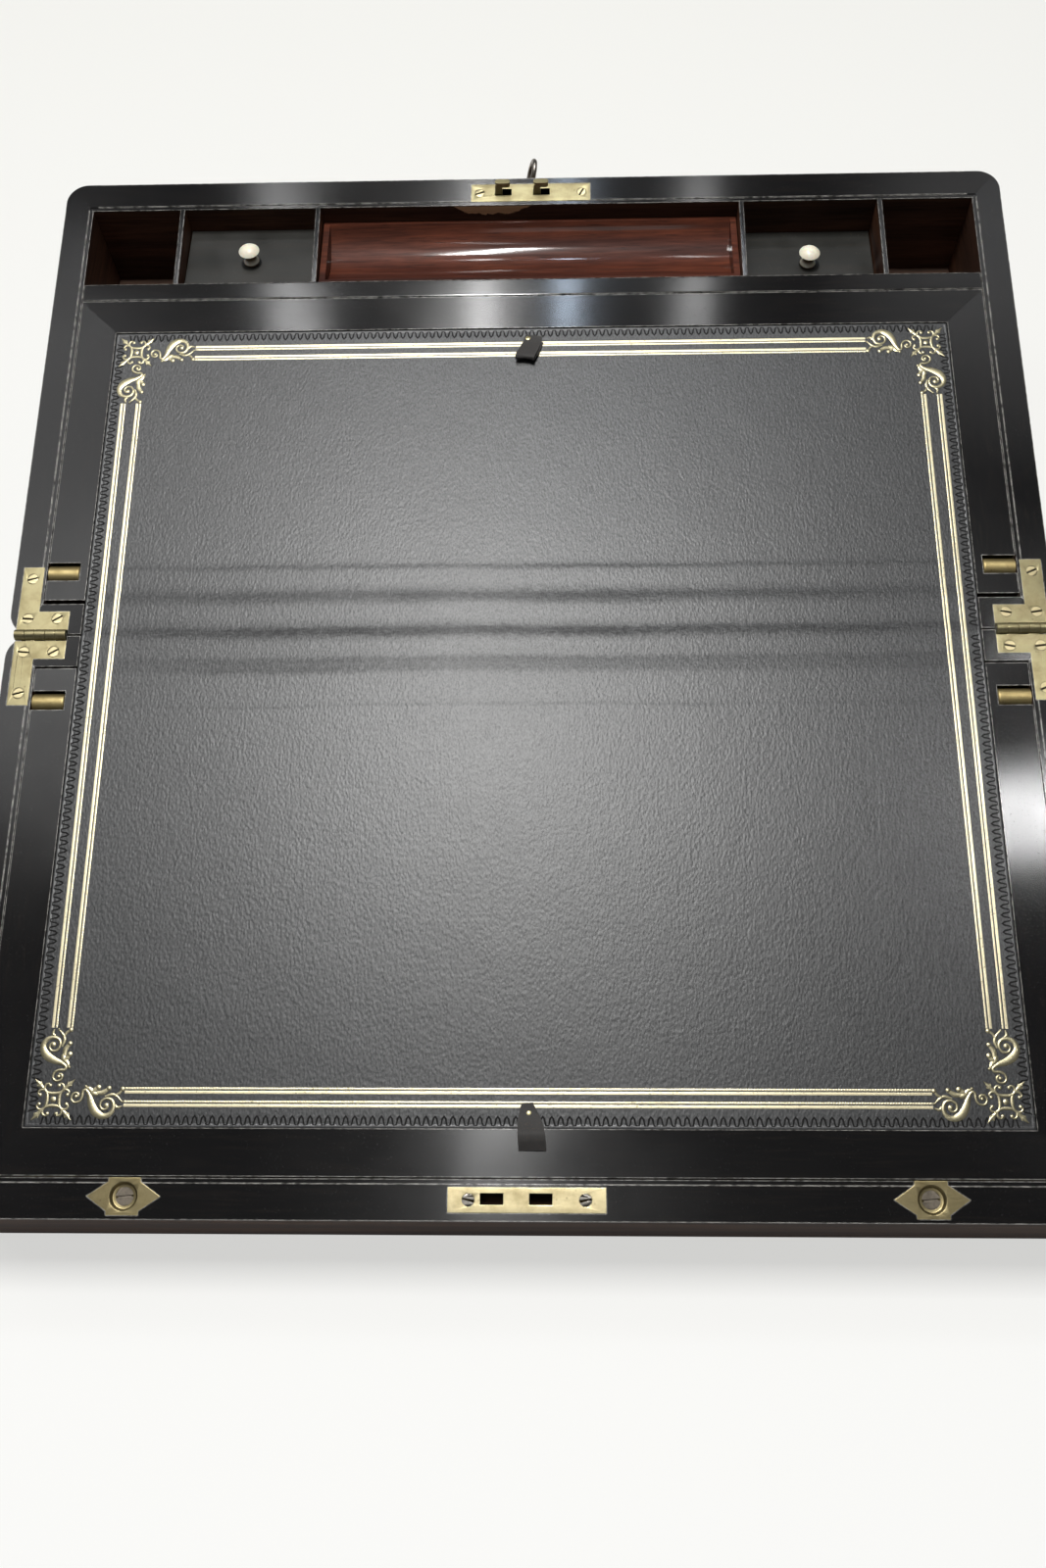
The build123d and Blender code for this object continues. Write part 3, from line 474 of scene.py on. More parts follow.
def bone(name):
    """Turned bone: warm cream with faint brown fibres, with painted shade on its sides where they
    turn away from above.
    """
    s = Shader(name, Subsurface_Weight=0.15, Subsurface_Scale=0.002)
    fibres = s.noise(900, 3, 0.6, vector=grain_vector(s, "y"))
    cloud = s.noise(160, 3)
    colour = s.mix(s.remap(cloud, 0.35, 0.7), (0.97, 0.92, 0.78), (0.88, 0.80, 0.62))
    colour = s.mix(s.remap(fibres, 0.62, 0.78, 0.0, 0.5), colour, (0.45, 0.33, 0.18))
    # painted shade: brown where the surface turns away from above, as on the stem under the cap
    upward = s.dot(s.facing, (0.0, 0.0, 1.0))
    colour = s.mix(s.remap(upward, 0.15, 0.55), (0.17, 0.11, 0.055), colour)
    rough = s.spread(cloud, 0.28, 0.40)
    return s.finish(Base_Color=colour, Roughness=rough, Normal=s.bump(fibres, 0.00003, 0.4))


def baize(name):
    """Worn green wool baize."""
    s = Shader(name, Sheen_Weight=0.4, Sheen_Roughness=0.5, Roughness=0.95)
    nap = s.noise(1400, 5, 0.7)
    worn = s.noise(40, 4)
    colour = s.mix(s.spread(nap), (0.010, 0.035, 0.018), (0.026, 0.075, 0.040))
    colour = s.mix(s.remap(worn, 0.5, 0.75, 0.0, 0.5), colour, (0.060, 0.060, 0.035))
    return s.finish(Base_Color=colour, Normal=s.bump(nap, 0.0003, 0.8))


# (v, depth) of the creases that lie across the sheet, dulled and painted with shade
CREASES = [
    (-36, 0.0), (-30.4, 0.0), (-29.4, 0.28), (-28.4, 0.05), (-26, 0.0), (-17, 0.04),
    (-14.6, 0.48), (-12.4, 0.42), (-10.6, 0.55), (-8.6, 0.14), (-4, 0.06), (-1.8, 0.30),
    (0.2, 0.85), (1.8, 0.90), (3.6, 0.34), (7, 0.06), (11.6, 0.08), (13.8, 0.50),
    (16.2, 0.72), (18.6, 0.34), (21.6, 0.05), (26.6, 0.06), (28.3, 0.58), (29.4, 0.12),
    (32, 0.0),
]


def leather_shader(name):
    """Black skiver: fine grain along the slope, rubbed lighter, dull and painted with shade in
    its creases.
    """
    s = Shader(name, Specular_IOR_Level=0.7)
    pebbles = s.cells(1150, vector=s.stretched((1, 0.58, 1)), feature="SMOOTH_F1")
    fine = s.noise(1700, 4, 0.65, vector=s.stretched((1, 0.55, 1)))
    broad = s.noise(90, 4, 0.6)
    cloud = s.noise(9, 4, 0.6)
    lines = s.noise(1100, 4, 0.7, vector=s.stretched((0.35, 1, 1)))
    wander = s.sums("ADD", s.remap(s.noise(13, 2), 0.2, 0.8, -1.2, 1.2),
                    s.remap(s.noise(420, 3, 0.6), 0.2, 0.8, -0.9, 0.9))
    run = s.sums("ADD", s.slope_run(), wander)
    span = CREASES[-1][0] - CREASES[0][0]
    # creases: rougher as a real dulling; colour and sheen darkened there as painted shade
    crease_dull_and_shade = s.ramp(
        s.remap(run, CREASES[0][0], CREASES[-1][0]),
        [((v - CREASES[0][0]) / span, depth) for v, depth in CREASES],
    )
    crease_dull_and_shade = s.times(crease_dull_and_shade, s.remap(lines, 0.35, 0.6, 0.45, 1.0),
                     s.spread(s.noise(14, 2), 0.40, 0.90))
    pit_and_crease_shade = (0.006, 0.006, 0.007)
    colour = s.mix(s.remap(cloud, 0.32, 0.68), (0.028, 0.029, 0.030), (0.034, 0.035, 0.036))
    colour = s.mix(s.remap(broad, 0.5, 0.75, 0.0, 0.4), colour, (0.042, 0.043, 0.043))
    colour = s.mix(s.remap(fine, 0.45, 0.7, 0.0, 0.9), colour, pit_and_crease_shade)
    # painted shade: colour darkened in the creases
    colour = s.mix(s.times(crease_dull_and_shade, 0.8), colour, pit_and_crease_shade)
    rough = s.sums("ADD", s.spread(cloud, 0.39, 0.41), s.times(crease_dull_and_shade, 0.10))
    dimmed = s.mix(s.remap(fine, 0.40, 0.62), (1, 1, 1), (0.80, 0.80, 0.80))
    # painted shade: sheen dimmed in the creases
    dimmed = s.mix(s.times(crease_dull_and_shade, 0.70), dimmed, (0.05, 0.05, 0.05))
    height = s.sums("ADD", s.times(pebbles, 0.8), s.times(fine, 0.6))
    normal = s.bump(broad, 0.00022, 0.3)
    normal = s.bump(s.times(crease_dull_and_shade, lines), 0.0003, 0.5, under=normal)
    normal = s.bump(height, 0.00013, 0.7, under=normal)
    return s.finish(Base_Color=colour, Roughness=rough, Specular_Tint=dimmed, Normal=normal)


def tooled_leather(name):
    """Leather scorched dark and pressed hard by a blind tool."""
    s = Shader(name, Specular_IOR_Level=0.12)
    fine = s.noise(2300, 4, 0.6)
    colour = s.mix(fine, (0.004, 0.004, 0.004), (0.014, 0.013, 0.013))
    return s.finish(Base_Color=colour, Roughness=s.spread(fine, 0.5, 0.7),
                    Normal=s.bump(fine, 0.0001, 0.5))


def gold_leaf(name, tint, low, high):
    """Gold leaf pressed into leather: pale, broken and dark where it is rubbed."""
    s = Shader(name, Metallic=1.0)
    worn = s.noise(1300, 4, 0.6)
    drift = s.noise(45, 3)
    lost = s.sums("ADD", s.remap(worn, 0.56, 0.66), s.remap(drift, 0.5, 0.75, -0.35, 0.2))
    lost = s.sums("MULTIPLY", lost, 0.8, clamp=True)
    colour = s.mix(s.spread(drift), tint, tuple(0.86 * t for t in tint))
    colour = s.mix(lost, colour, (0.13, 0.11, 0.07))
    rough = s.spread(worn, low, high)
    return s.finish(Base_Color=colour, Roughness=rough, Normal=s.bump(worn, 0.00005, 0.5))


finish = {
    "case_x": case_wood("case_wood_long", "x"),
    "case_chipped": case_wood("case_wood_chipped", "x", chip=True),
    "case_y": case_wood("case_wood_side", "y"),
    "partition": case_wood("partition_wood", "y", veneered=False),
    "lid_case_x": case_wood("lid_case_wood_long", "x"),
    "lid_case_y": case_wood("lid_case_wood_side", "y"),
    "black_frame": ebonised("ebonised_frame", "frame"),
    "inner_x": rosewood("compartment_wood", "x", (0.045, 0.030, 0.022), (0.110, 0.062, 0.044),
                        (0.200, 0.115, 0.080), 0.40, 0.52),
    "tray": rosewood("tray_rosewood", "x", (0.020, 0.006, 0.004), (0.085, 0.022, 0.012),
                     (0.170, 0.046, 0.022), 0.45, 0.60, polish=0.35, shine=0.12),
    "plain": rosewood("plain_wood", "x", (0.050, 0.022, 0.010), (0.115, 0.052, 0.024),
                      (0.160, 0.078, 0.036), 0.45, 0.6),
    "cover": dusty_black("cover_wood"),
    "brass": brass("plate_brass"),
    "brass_dark": brass("barrel_brass", tint=(0.50, 0.40, 0.19), paint_slot_shade=False, edge=1.2,
                        dull_by=0.08),
    # edge factor under 1: the screw heads' rims are painted dark as shade
    "screw": brass("screw_brass", tint=(0.62, 0.54, 0.32), tarnish=0.4, edge=0.12,
                   edge_reach=0.0005),
    "screw_dull": steel("screw_steel", (0.30, 0.28, 0.25), 0.30, 0.50, paint_screw_slot_shade=True),
    "screw_deep": steel("sunk_screw_steel", (0.26, 0.225, 0.18), 0.35, 0.55),
    "strike": brass("strike_brass", tint=(0.66, 0.57, 0.34), tarnish=0.75),
    "front_plate": brass("front_plate_brass", tint=(0.31, 0.26, 0.14), tarnish=0.8,
                         paint_slot_shade=False, edge=2.2, edge_reach=0.0005),
    "steel": steel("pin_steel", (0.42, 0.40, 0.37), 0.30, 0.50),
    "key": steel("key_metal", (0.34, 0.31, 0.27), 0.26, 0.46),
    "bone": bone("knob_bone"),
    "baize": baize("foot_baize"),
    "leather": leather_shader("black_leather"),
    "blind": tooled_leather("tooled_leather"),
    "gold": gold_leaf("gold_lines_leaf", (0.80, 0.72, 0.49), 0.36, 0.46),
    # the same gold leaf as the lines, painted darker as shade on the corner ornaments
    "gold_shaded_corner": gold_leaf("gold_corner_leaf", (0.50, 0.45, 0.29), 0.34, 0.44),
}

# the finish of the CAD nodes whose names end so; the rest is brass
ENDINGS = {
    "back_wall": "case_chipped", "compartment_front_wall": "case_x",
    "lid_top_panel": "lid_case_x", "lid_front_wall": "lid_case_x", "base_bottom": "plain",
    "baize": "baize", "well_floor": "inner_x", "_ledge": "inner_x", "_ledges": "inner_x",
    "_partition": "partition", "flap_board": "black_frame", "_cover": "cover",
    "pen_tray": "tray", "_knob": "bone", "hinge_screws": "screw",
    "lock_plate_screws": "screw", "strike_plate_screws": "screw_dull",
    "front_plate_screws": "screw_deep", "strike_plate": "strike",
    "front_plate": "front_plate", "flap_barrels": "brass_dark", "_pins": "steel",
    "key": "key", "leather": "leather", "_tab": "leather",
}
for half, kind in (("base", "case"), ("lid", "lid_case")):
    for wall, grain in (("left", "y"), ("right", "y"), ("hinge", "x")):
        ENDINGS[f"{half}_{wall}_wall"] = f"{kind}_{grain}"


def finish_of(name):
    """Which finish a CAD node takes."""
    for ending, kind in ENDINGS.items():
        if name.endswith(ending):
            return kind
    return "brass"


# how wide edges are rounded, in metres, by finish or by its name before the last "_"
EDGE_ROUND = {
    "case": 0.0007, "lid_case": 0.0007, "black": 0.0006, "inner": 0.0003,
    "cover": 0.0003, "partition": 0.00018, "tray": 0.0004, "plain": 0.0003, "brass": 0.00016,
    "front_plate": 0.00016, "strike": 0.0002, "screw": 0.00028, "screw_dull": 0.00022,
    "screw_deep": 0.00022,
}
WELD_GAP = 0.000002
BEVEL_ANGLE = 35

for name, obj in nodes.items():
    kind = finish_of(name)
    obj.data.materials.clear()
    obj.data.materials.append(finish[kind])
    width = EDGE_ROUND.get(kind, EDGE_ROUND.get(kind.rsplit("_", 1)[0]))
    if width is None:
        continue
    weld = obj.modifiers.new("weld", "WELD")
    weld.merge_threshold = WELD_GAP
    bevel = obj.modifiers.new("edges", "BEVEL")
    bevel.width = width
    bevel.segments = 2
    bevel.limit_method = "ANGLE"
    bevel.angle_limit = math.radians(BEVEL_ANGLE)
    even = obj.modifiers.new("normals", "WEIGHTED_NORMAL")
    even.mode = "FACE_AREA"
    even.weight = 100

# ---- leather ----

# (v, w) of the waves that folding has left across the sheet
WAVES = [
    (-70, 0.0), (-44, 0.04), (-32, 0.08), (-28, 0.03), (-18, 0.08), (-14.5, 0.05),
    (-9, -0.06), (-3.5, 0.10), (-1.0, 0.12), (3.6, -0.10), (9, 0.05), (13.6, 0.12),
    (18.4, -0.08), (24, 0.05), (27, 0.08), (30, 0.0), (45, 0.03), (70, 0.0),
]
BORDER_WIDTH = 14
WAVE_V = np.array([v for v, _ in WAVES], float)
WAVE_W = np.array([w for _, w in WAVES], float)


def eased(value, places, heights):
    """Piecewise smooth curve through the given heights, level at each of them."""
    value = np.clip(value, places[0], places[-1])
    index = np.clip(np.searchsorted(places, value) - 1, 0, len(places) - 2)
    t = (value - places[index]) / (places[index + 1] - places[index])
    t = t * t * (3 - 2 * t)
    return heights[index] * (1 - t) + heights[index + 1] * t


def leather_height(x, v):
    """Top of the leather over the slope plane, in millimetres."""
    x, v = np.asarray(x, float), np.asarray(v, float)
    wander = 0.5 * np.sin(x / 37 + 1.0) + 0.35 * np.sin(x / 15.5 + v / 9)
    swell = 1 + 0.35 * np.sin(x / 61 + v / 40) + 0.15 * np.sin(x / 23)
    height = eased(v + wander, WAVE_V, WAVE_W) * swell
    height = height + 0.012 * np.sin(x / 9 + v / 7) * np.sin(v / 12 - x / 31)
    # flatter towards the border, which has a raised line and a groove pressed round it
    edge = np.minimum.reduce([LEATHER_HALF - np.abs(x), LEATHER_BACK - v, v - LEATHER_FRONT])
    flat = np.clip(edge / BORDER_WIDTH, 0, 1)
    raised = 0.12 * np.exp(-(((edge - 0.55) / 0.28) ** 2))
    groove = -0.07 * np.exp(-(((edge - 1.25) / 0.25) ** 2))
    return LEATHER_TOP + height * (0.35 + 0.65 * flat) + raised + groove


# the sheet's grid in millimetres: its steps, closer at its edges and where it is creased
STEP_X, STEP_V, STEP_EDGE, STEP_CREASE = 2.6, 2.4, 0.3, 0.5
EDGE_BAND = 2.1
CREASED_BANDS = [(-31.5, -8), (-1, 4.5), (13.5, 18.5), (26.5, 30.5)]
NEAR = 1e-6
LEAST_STEP = 1e-3


def spaced(low, high, coarse, fine_zones, fine):
    """Grid places from low to high, closer together inside the fine zones."""
    places = [low]
    while places[-1] < high - NEAR:
        here = places[-1]
        inside = any(a - NEAR <= here < b - NEAR for a, b in fine_zones)
        step = fine if inside else coarse
        for a, _ in fine_zones:
            if here < a - NEAR:
                step = min(step, max(a - here, LEAST_STEP))
        places.append(min(here + step, high))
    if len(places) > 2 and places[-1] - places[-2] < 0.3 * fine:
        places.pop(-2)
    return places


def leather_sheet(name, v_low, v_high):
    """A closed slab of leather between two lines, waved on top and flat below."""
    edge = LEATHER_HALF
    sides = [(-edge, -edge + EDGE_BAND), (edge - EDGE_BAND, edge)]
    xs = spaced(-edge, edge, STEP_X, sides, STEP_EDGE)
    bands = [(LEATHER_FRONT, LEATHER_FRONT + EDGE_BAND), *CREASED_BANDS,
             (LEATHER_BACK - EDGE_BAND, LEATHER_BACK)]
    bands = [(max(a, v_low), min(b, v_high)) for a, b in bands if b > v_low and a < v_high]
    is_fold = v_high - v_low <= 2 * FOLD_STRIP
    vs = spaced(v_low, v_high, STEP_V, bands, STEP_EDGE if is_fold else STEP_CREASE)
    nx, nv = len(xs), len(vs)
    grid_x, grid_v = np.meshgrid(xs, vs)
    top = leather_height(grid_x, grid_v)
    points = np.stack([grid_x.ravel(), grid_v.ravel(), top.ravel()], 1)
    low = points.copy()
    low[:, 2] = LEATHER_BOTTOM
    faces = []
    for j in range(nv - 1):
        for i in range(nx - 1):
            a = j * nx + i
            faces.append((a, a + 1, a + nx + 1, a + nx))
    count = nx * nv
    ring = list(range(nx))
    ring += [j * nx + nx - 1 for j in range(1, nv)]
    ring += [(nv - 1) * nx + i for i in range(nx - 2, -1, -1)]
    ring += [j * nx for j in range(nv - 2, 0, -1)]
    below = {r: count + k for k, r in enumerate(ring)}
    points = np.concatenate([points, low[ring]])
    for a, b in zip(ring, ring[1:] + ring[:1]):
        faces.append((b, a, below[a], below[b]))
    faces.append(tuple(below[r] for r in reversed(ring)))
    return new_mesh(name, points, faces, finish["leather"])


def bend_over(obj, part):
    """Bakes the piece's placement into its mesh, the same for every part."""
    if part == "upper":
        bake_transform(obj)
    elif part == "lower":
        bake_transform(obj)
    else:
        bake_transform(obj)


PARTS = {
    "upper": (FOLD_STRIP, LEATHER_BACK),
    "fold": (-FOLD_STRIP, FOLD_STRIP),
    "lower": (LEATHER_FRONT, -FOLD_STRIP),
}
sheets = {}
for part, (v_low, v_high) in PARTS.items():
    sheets[part] = leather_sheet("leather_" + part, v_low, v_high)
    bend_over(sheets[part], part)
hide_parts("upper_leather", "base_fold_leather")
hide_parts("lower_leather", "lid_fold_leather")

# ---- tooling ----


def mirrored(half):
    """A symmetrical list of points from its first half, first numbers changing sign."""
    return [*half, *((-first, *rest) for first, *rest in half[-2::-1])]


# tooled pieces start this far under the leather's top
SUNK = -0.08
# across a tooled line: share of its half width; a rise; whether that is a share of its height
ROUND_SECTION = mirrored([(-1, SUNK, 0), (-0.95, 0.3, 1), (-0.5, 0.85, 1), (0, 1.0, 1)])
FLAT_SECTION = mirrored([(-1, SUNK, 0), (-0.96, 0.9, 1), (-0.85, 1.0, 1), (0, 1.0, 1)])


class Builder:
    """Collects the points and faces of many small closed pieces."""

    def __init__(self):
        self.points, self.faces = [], []

    def loft(self, rings):
        """Joins rings of equal length into one closed solid."""
        start, size = len(self.points), len(rings[0])
        for ring in rings:
            self.points.extend(ring)
        for r in range(len(rings) - 1):
            a = start + r * size
            for i in range(size):
                j = (i + 1) % size
                self.faces.append((a + i, a + j, a + size + j, a + size + i))
        last = start + (len(rings) - 1) * size
        self.faces.append(tuple(range(start + size - 1, start - 1, -1)))
        self.faces.append(tuple(range(last, last + size)))

    def dome(self, x, v, radius, height, sides=6):
        """A small raised dot on the leather."""
        ground = float(leather_height(x, v))
        rings = []
        for share, rise in ((1.0, SUNK), (0.95, 0.35 * height), (0.62, 0.85 * height),
                            (0.2, height)):
            rings.append([
                (x + radius * share * math.cos(2 * math.pi * k / sides),
                 v + radius * share * math.sin(2 * math.pi * k / sides), ground + rise)
                for k in range(sides)
            ])
        self.loft(rings)

    def stroke(self, path, half_widths, height, flat=False):
        """A raised line on the leather, along (x, v) points."""
        path = np.asarray(path, float)
        half_widths = np.broadcast_to(half_widths, len(path))
        ahead = np.gradient(path, axis=0)
        ahead /= np.maximum(np.linalg.norm(ahead, axis=1, keepdims=True), 1e-9)
        side = np.stack([-ahead[:, 1], ahead[:, 0]], 1)
        section = FLAT_SECTION if flat else ROUND_SECTION
        rings = []
        for point, across, half in zip(path, side, half_widths):
            ground = float(leather_height(*point))
            ring = []
            for share, rise, scaled in section:
                x, v = point + across * share * half
                ring.append((x, v, ground + (rise * height if scaled else rise)))
            rings.append(ring[::-1])
        self.loft(rings)

    def make(self, name, material):
        """One object of all the pieces."""
        return new_mesh(name, self.points, self.faces, material)


def curve_through(points, step=0.35):
    """A smooth line through the points, cut into even steps."""
    points = np.asarray(points, float)
    padded = np.vstack([2 * points[0] - points[1], points, 2 * points[-1] - points[-2]])
    line = []
    for k in range(1, len(padded) - 2):
        p0, p1, p2, p3 = padded[k - 1:k + 3]
        count = max(2, int(np.linalg.norm(p2 - p1) / step))
        for t in np.linspace(0, 1, count, endpoint=False):
            line.append(0.5 * (2 * p1 + (p2 - p0) * t
                               + (2 * p0 - 5 * p1 + 4 * p2 - p3) * t ** 2
                               + (3 * p1 - p0 - 3 * p2 + p3) * t ** 3))
    line.append(points[-1])
    return np.array(line)


def swelling(widths, count):
    """Half widths spread evenly along a line of so many points."""
    return np.interp(np.linspace(0, 1, count), np.linspace(0, 1, len(widths)), widths)


# the rectangle that tooling is measured in from, and where the bands start from its corners
TOOL_HALF = 171.6
TOOL_BACK = 137.25
TOOL_FRONT = -183.7
BAND_START = 33.8
# insets of each band's two plain lines and of its beaded line, outer band first
BANDS = [(6.85, 7.85, 8.62), (11.30, 12.30, 13.07)]
# how much nearer to the side edge the outer band runs, at the back and at the front
OUTER_SHIFT = (1.9, 1.0)
BACK_SHIFT = 0.4
LINE_HALF, LINE_HEIGHT = 0.50, 0.07
BEADED_HALF, BEADED_HEIGHT = 0.34, 0.05
BEAD_PITCH, BEAD_RADIUS, BEAD_HEIGHT = 0.95, 0.42, 0.10
LINE_STEP = 0.8


def on_corner(side, end, swap):
    """Maps a corner's (u, t) to (x, v), for the arm along x or, swapped, along v."""
    def to_slope(point):
        u, t = (point[1], point[0]) if swap else point
        x = side * (TOOL_HALF - u)
        v = TOOL_BACK - t if end > 0 else TOOL_FRONT + t
        return (x, v)
    return to_slope


def line_set():
    """The straight gold lines as (start, end) pairs of (x, v), plain and beaded."""
    plain, beaded = [], []
    reach = TOOL_HALF - BAND_START
    for (outer, inner, beads), is_outer in zip(BANDS, (1, 0)):
        for offset, into in (((outer + inner) / 2, plain), (beads, beaded)):
            back = TOOL_BACK - offset + is_outer * BACK_SHIFT
            into.append(((-reach, back), (reach, back)))
            into.append(((-reach, TOOL_FRONT + offset), (reach, TOOL_FRONT + offset)))
            at_back, at_front = (TOOL_HALF - offset + is_outer * s for s in OUTER_SHIFT)
            for side in (-1, 1):
                into.append(((side * at_front, TOOL_FRONT + BAND_START),
                             (side * at_back, TOOL_BACK - BAND_START)))
    return plain, beaded


def clipped(start, end, part):
    """The part of a straight line that lies on one of the three leather pieces."""
    low, high = PARTS[part]
    (x0, v0), (x1, v1) = start, end
    if v0 == v1:
        return (start, end) if low <= v0 <= high else None
    a, b = max(v0, low), min(v1, high)
    lean = (x1 - x0) / (v1 - v0)
    return ((x0 + lean * (a - v0), a), (x0 + lean * (b - v0), b)) if b > a else None


def gold_lines(part):
    """Plain and beaded lines of one leather piece."""
    made = Builder()
    plain, beaded = line_set()
    for start, end in plain + beaded:
        piece = clipped(start, end, part)
        if piece is None:
            continue
        a, b = np.array(piece[0]), np.array(piece[1])
        length = np.linalg.norm(b - a)
        count = max(2, int(length / LINE_STEP))
        path = a + (b - a) * np.linspace(0, 1, count)[:, None]
        if (start, end) in plain:
            made.stroke(path, LINE_HALF, LINE_HEIGHT, flat=True)
            continue
        made.stroke(path, BEADED_HALF, BEADED_HEIGHT, flat=True)
        for k in range(int(length / BEAD_PITCH)):
            x, v = a + (b - a) / length * BEAD_PITCH * (k + 0.5)
            made.dome(x, v, BEAD_RADIUS, BEAD_HEIGHT)
    return made.make("gold_lines_" + part, finish["gold"])


FLEURON_INSET = 9.2
# one of the flower's four petals: (sideways, out from the flower's middle)
PETAL = mirrored([(-1.2, 4.7), (-2.1, 5.4), (-3.1, 4.9), (-3.3, 3.5), (-2.2, 2.4), (0, 2.05)])
PETAL_WIDTHS = [0.3, 0.45, 0.5, 0.62, 0.5, 0.45, 0.3]


def fleuron(made, to_slope):
    """The small square flower in the corner."""
    def spot(a, b, turn):
        c, d = ((a, b), (-b, a), (-a, -b), (b, -a))[turn]
        return to_slope((FLEURON_INSET + c, FLEURON_INSET + d))

    made.dome(*spot(0, 0, 0), 1.1, 0.28, 10)
    for turn in range(4):
        line = curve_through([spot(a, b, turn) for b, a in PETAL])
        made.stroke(line, swelling(PETAL_WIDTHS, len(line)), 0.22)
        for b in (-1.55, 1.55):
            made.dome(*spot(4.75, b, turn), 0.72, 0.26, 8)
        leaf = curve_through([spot(a, a, turn) for a in (2.7, 4.0, 5.3, 6.9)])
        made.stroke(leaf, swelling([0.35, 0.75, 0.6, 0.95, 0.45, 0.12], len(leaf)), 0.22)
        for a, b, c, d in ((4.2, 4.6, 6.1, 4.7), (4.6, 4.2, 4.7, 6.1)):
            lobe = curve_through([spot(a, b, turn), spot((a + c) / 2, (b + d) / 2, turn),
                                  spot(c, d, turn)])
            made.stroke(lobe, swelling([0.4, 0.5, 0.2], len(lobe)), 0.2)


# the corner scroll: (u, t) in from the corner, along an arm and across it
SCROLL_STEM = [
    (17.0, 10.2), (17.9, 10.6), (17.3, 11.5), (15.9, 11.1), (15.5, 9.5), (16.6, 8.3),
    (18.4, 8.7), (19.2, 10.3), (19.3, 12.0), (20.4, 12.4), (21.6, 10.6), (22.7, 7.6),
    (24.4, 5.0), (27.0, 3.7), (29.4, 4.5), (30.4, 6.8), (29.6, 9.0), (27.6, 9.6),
    (25.9, 8.5), (25.9, 6.7), (27.3, 5.9), (28.5, 6.8), (28.1, 7.9),
]
SCROLL_WIDTHS = [0.5, 0.45, 0.45, 0.45, 0.45, 0.5, 0.55, 0.6, 0.8, 1.1, 1.3, 1.45, 1.3,
                 1.0, 0.85, 0.75, 0.65, 0.6, 0.5, 0.5, 0.45, 0.45, 0.4]
SCROLL_LEAVES = [
    ([(19.8, 13.4), (21.4, 12.9), (22.9, 11.4), (24.6, 10.9)], [0.3, 0.8, 1.0, 0.7]),
    ([(22.4, 11.6), (23.6, 12.6), (24.6, 13.3)], [0.6, 0.9, 0.6]),
    ([(24.2, 11.4), (26.2, 11.6), (28.2, 12.9)], [0.7, 0.9, 0.6]),
    ([(27.2, 10.3), (29.6, 10.9), (31.4, 10.2), (33.2, 8.6)], [0.4, 0.6, 0.5, 0.25]),
    ([(30.4, 10.7), (31.9, 11.3), (32.9, 12.6)], [0.4, 0.5, 0.5]),
    ([(30.9, 7.6), (31.6, 6.6), (33.3, 7.0)], [0.4, 0.6, 0.3]),
]
SCROLL_BALLS = [(17.0, 10.2, 0.75), (27.9, 7.2, 1.0), (24.6, 13.3, 1.0), (28.3, 13.0, 0.9),
                (33.0, 12.8, 0.9), (20.2, 13.6, 0.6), (33.2, 8.6, 0.5)]


def corner_ornament(part):
    """Fleurons and scrolls at the two corners of one flap."""
    made = Builder()
    end = 1 if part == "upper" else -1
    for side in (-1, 1):
        fleuron(made, on_corner(side, end, False))
        for swap in (False, True):
            to_slope = on_corner(side, end, swap)
            stem = curve_through([to_slope(p) for p in SCROLL_STEM])
            made.stroke(stem, swelling(SCROLL_WIDTHS, len(stem)), 0.26)
            for points, widths in SCROLL_LEAVES:
                leaf = curve_through([to_slope(p) for p in points])
                made.stroke(leaf, swelling(widths, len(leaf)), 0.22)
            for u, t, radius in SCROLL_BALLS:
                made.dome(*to_slope((u, t)), radius, 0.32, 8)
    return made.make("gold_corners_" + part, finish["gold_shaded_corner"])


# one arch of the blind row: (along, in from the edge)
ARCH = mirrored([(-1.5, 0.95), (-1.05, 1.05), (-0.8, 2.0), (-0.62, 3.1), (0, 3.95)])
ARCH_WIDTHS = [0.25, 0.3, 0.28, 0.36, 0.46, 0.36, 0.28, 0.3, 0.25]
ARCH_HEIGHT = 0.05
ARCH_PITCH = 3.05
ARCH_HALF = 1.55
# what a row leaves free at its two ends together
ROW_ENDS = 8


def blind_row(part):
    """The row of blind-tooled arches round the edge of one leather piece."""
    made = Builder()
    low, high = PARTS[part]

    def arch(place_on):
        made.stroke([place_on(a, t) for a, t in ARCH], ARCH_WIDTHS, ARCH_HEIGHT)

    if part != "fold":
        end = 1 if part == "upper" else -1
        edge = TOOL_BACK if end > 0 else TOOL_FRONT
        count = int((2 * TOOL_HALF - ROW_ENDS) / ARCH_PITCH)
        for k in range(count):
            middle = (k - (count - 1) / 2) * ARCH_PITCH
            arch(lambda a, t, m=middle: (m + a, edge - end * t))
    count = int((TOOL_BACK - TOOL_FRONT - ROW_ENDS) / ARCH_PITCH)
    centre = (TOOL_BACK + TOOL_FRONT) / 2
    for k in range(count):
        middle = centre + (k - (count - 1) / 2) * ARCH_PITCH
        if middle - ARCH_HALF < low or middle + ARCH_HALF > high:
            continue
        for side in (-1, 1):
            arch(lambda a, t, m=middle, s=side: (s * (TOOL_HALF - t), m + a))
    return made.make("blind_row_" + part, finish["blind"])


for part in PARTS:
    bend_over(gold_lines(part), part)
for part in ("upper", "lower"):
    bend_over(corner_ornament(part), part)
    bend_over(blind_row(part), part)

# ---- pull tabs ----


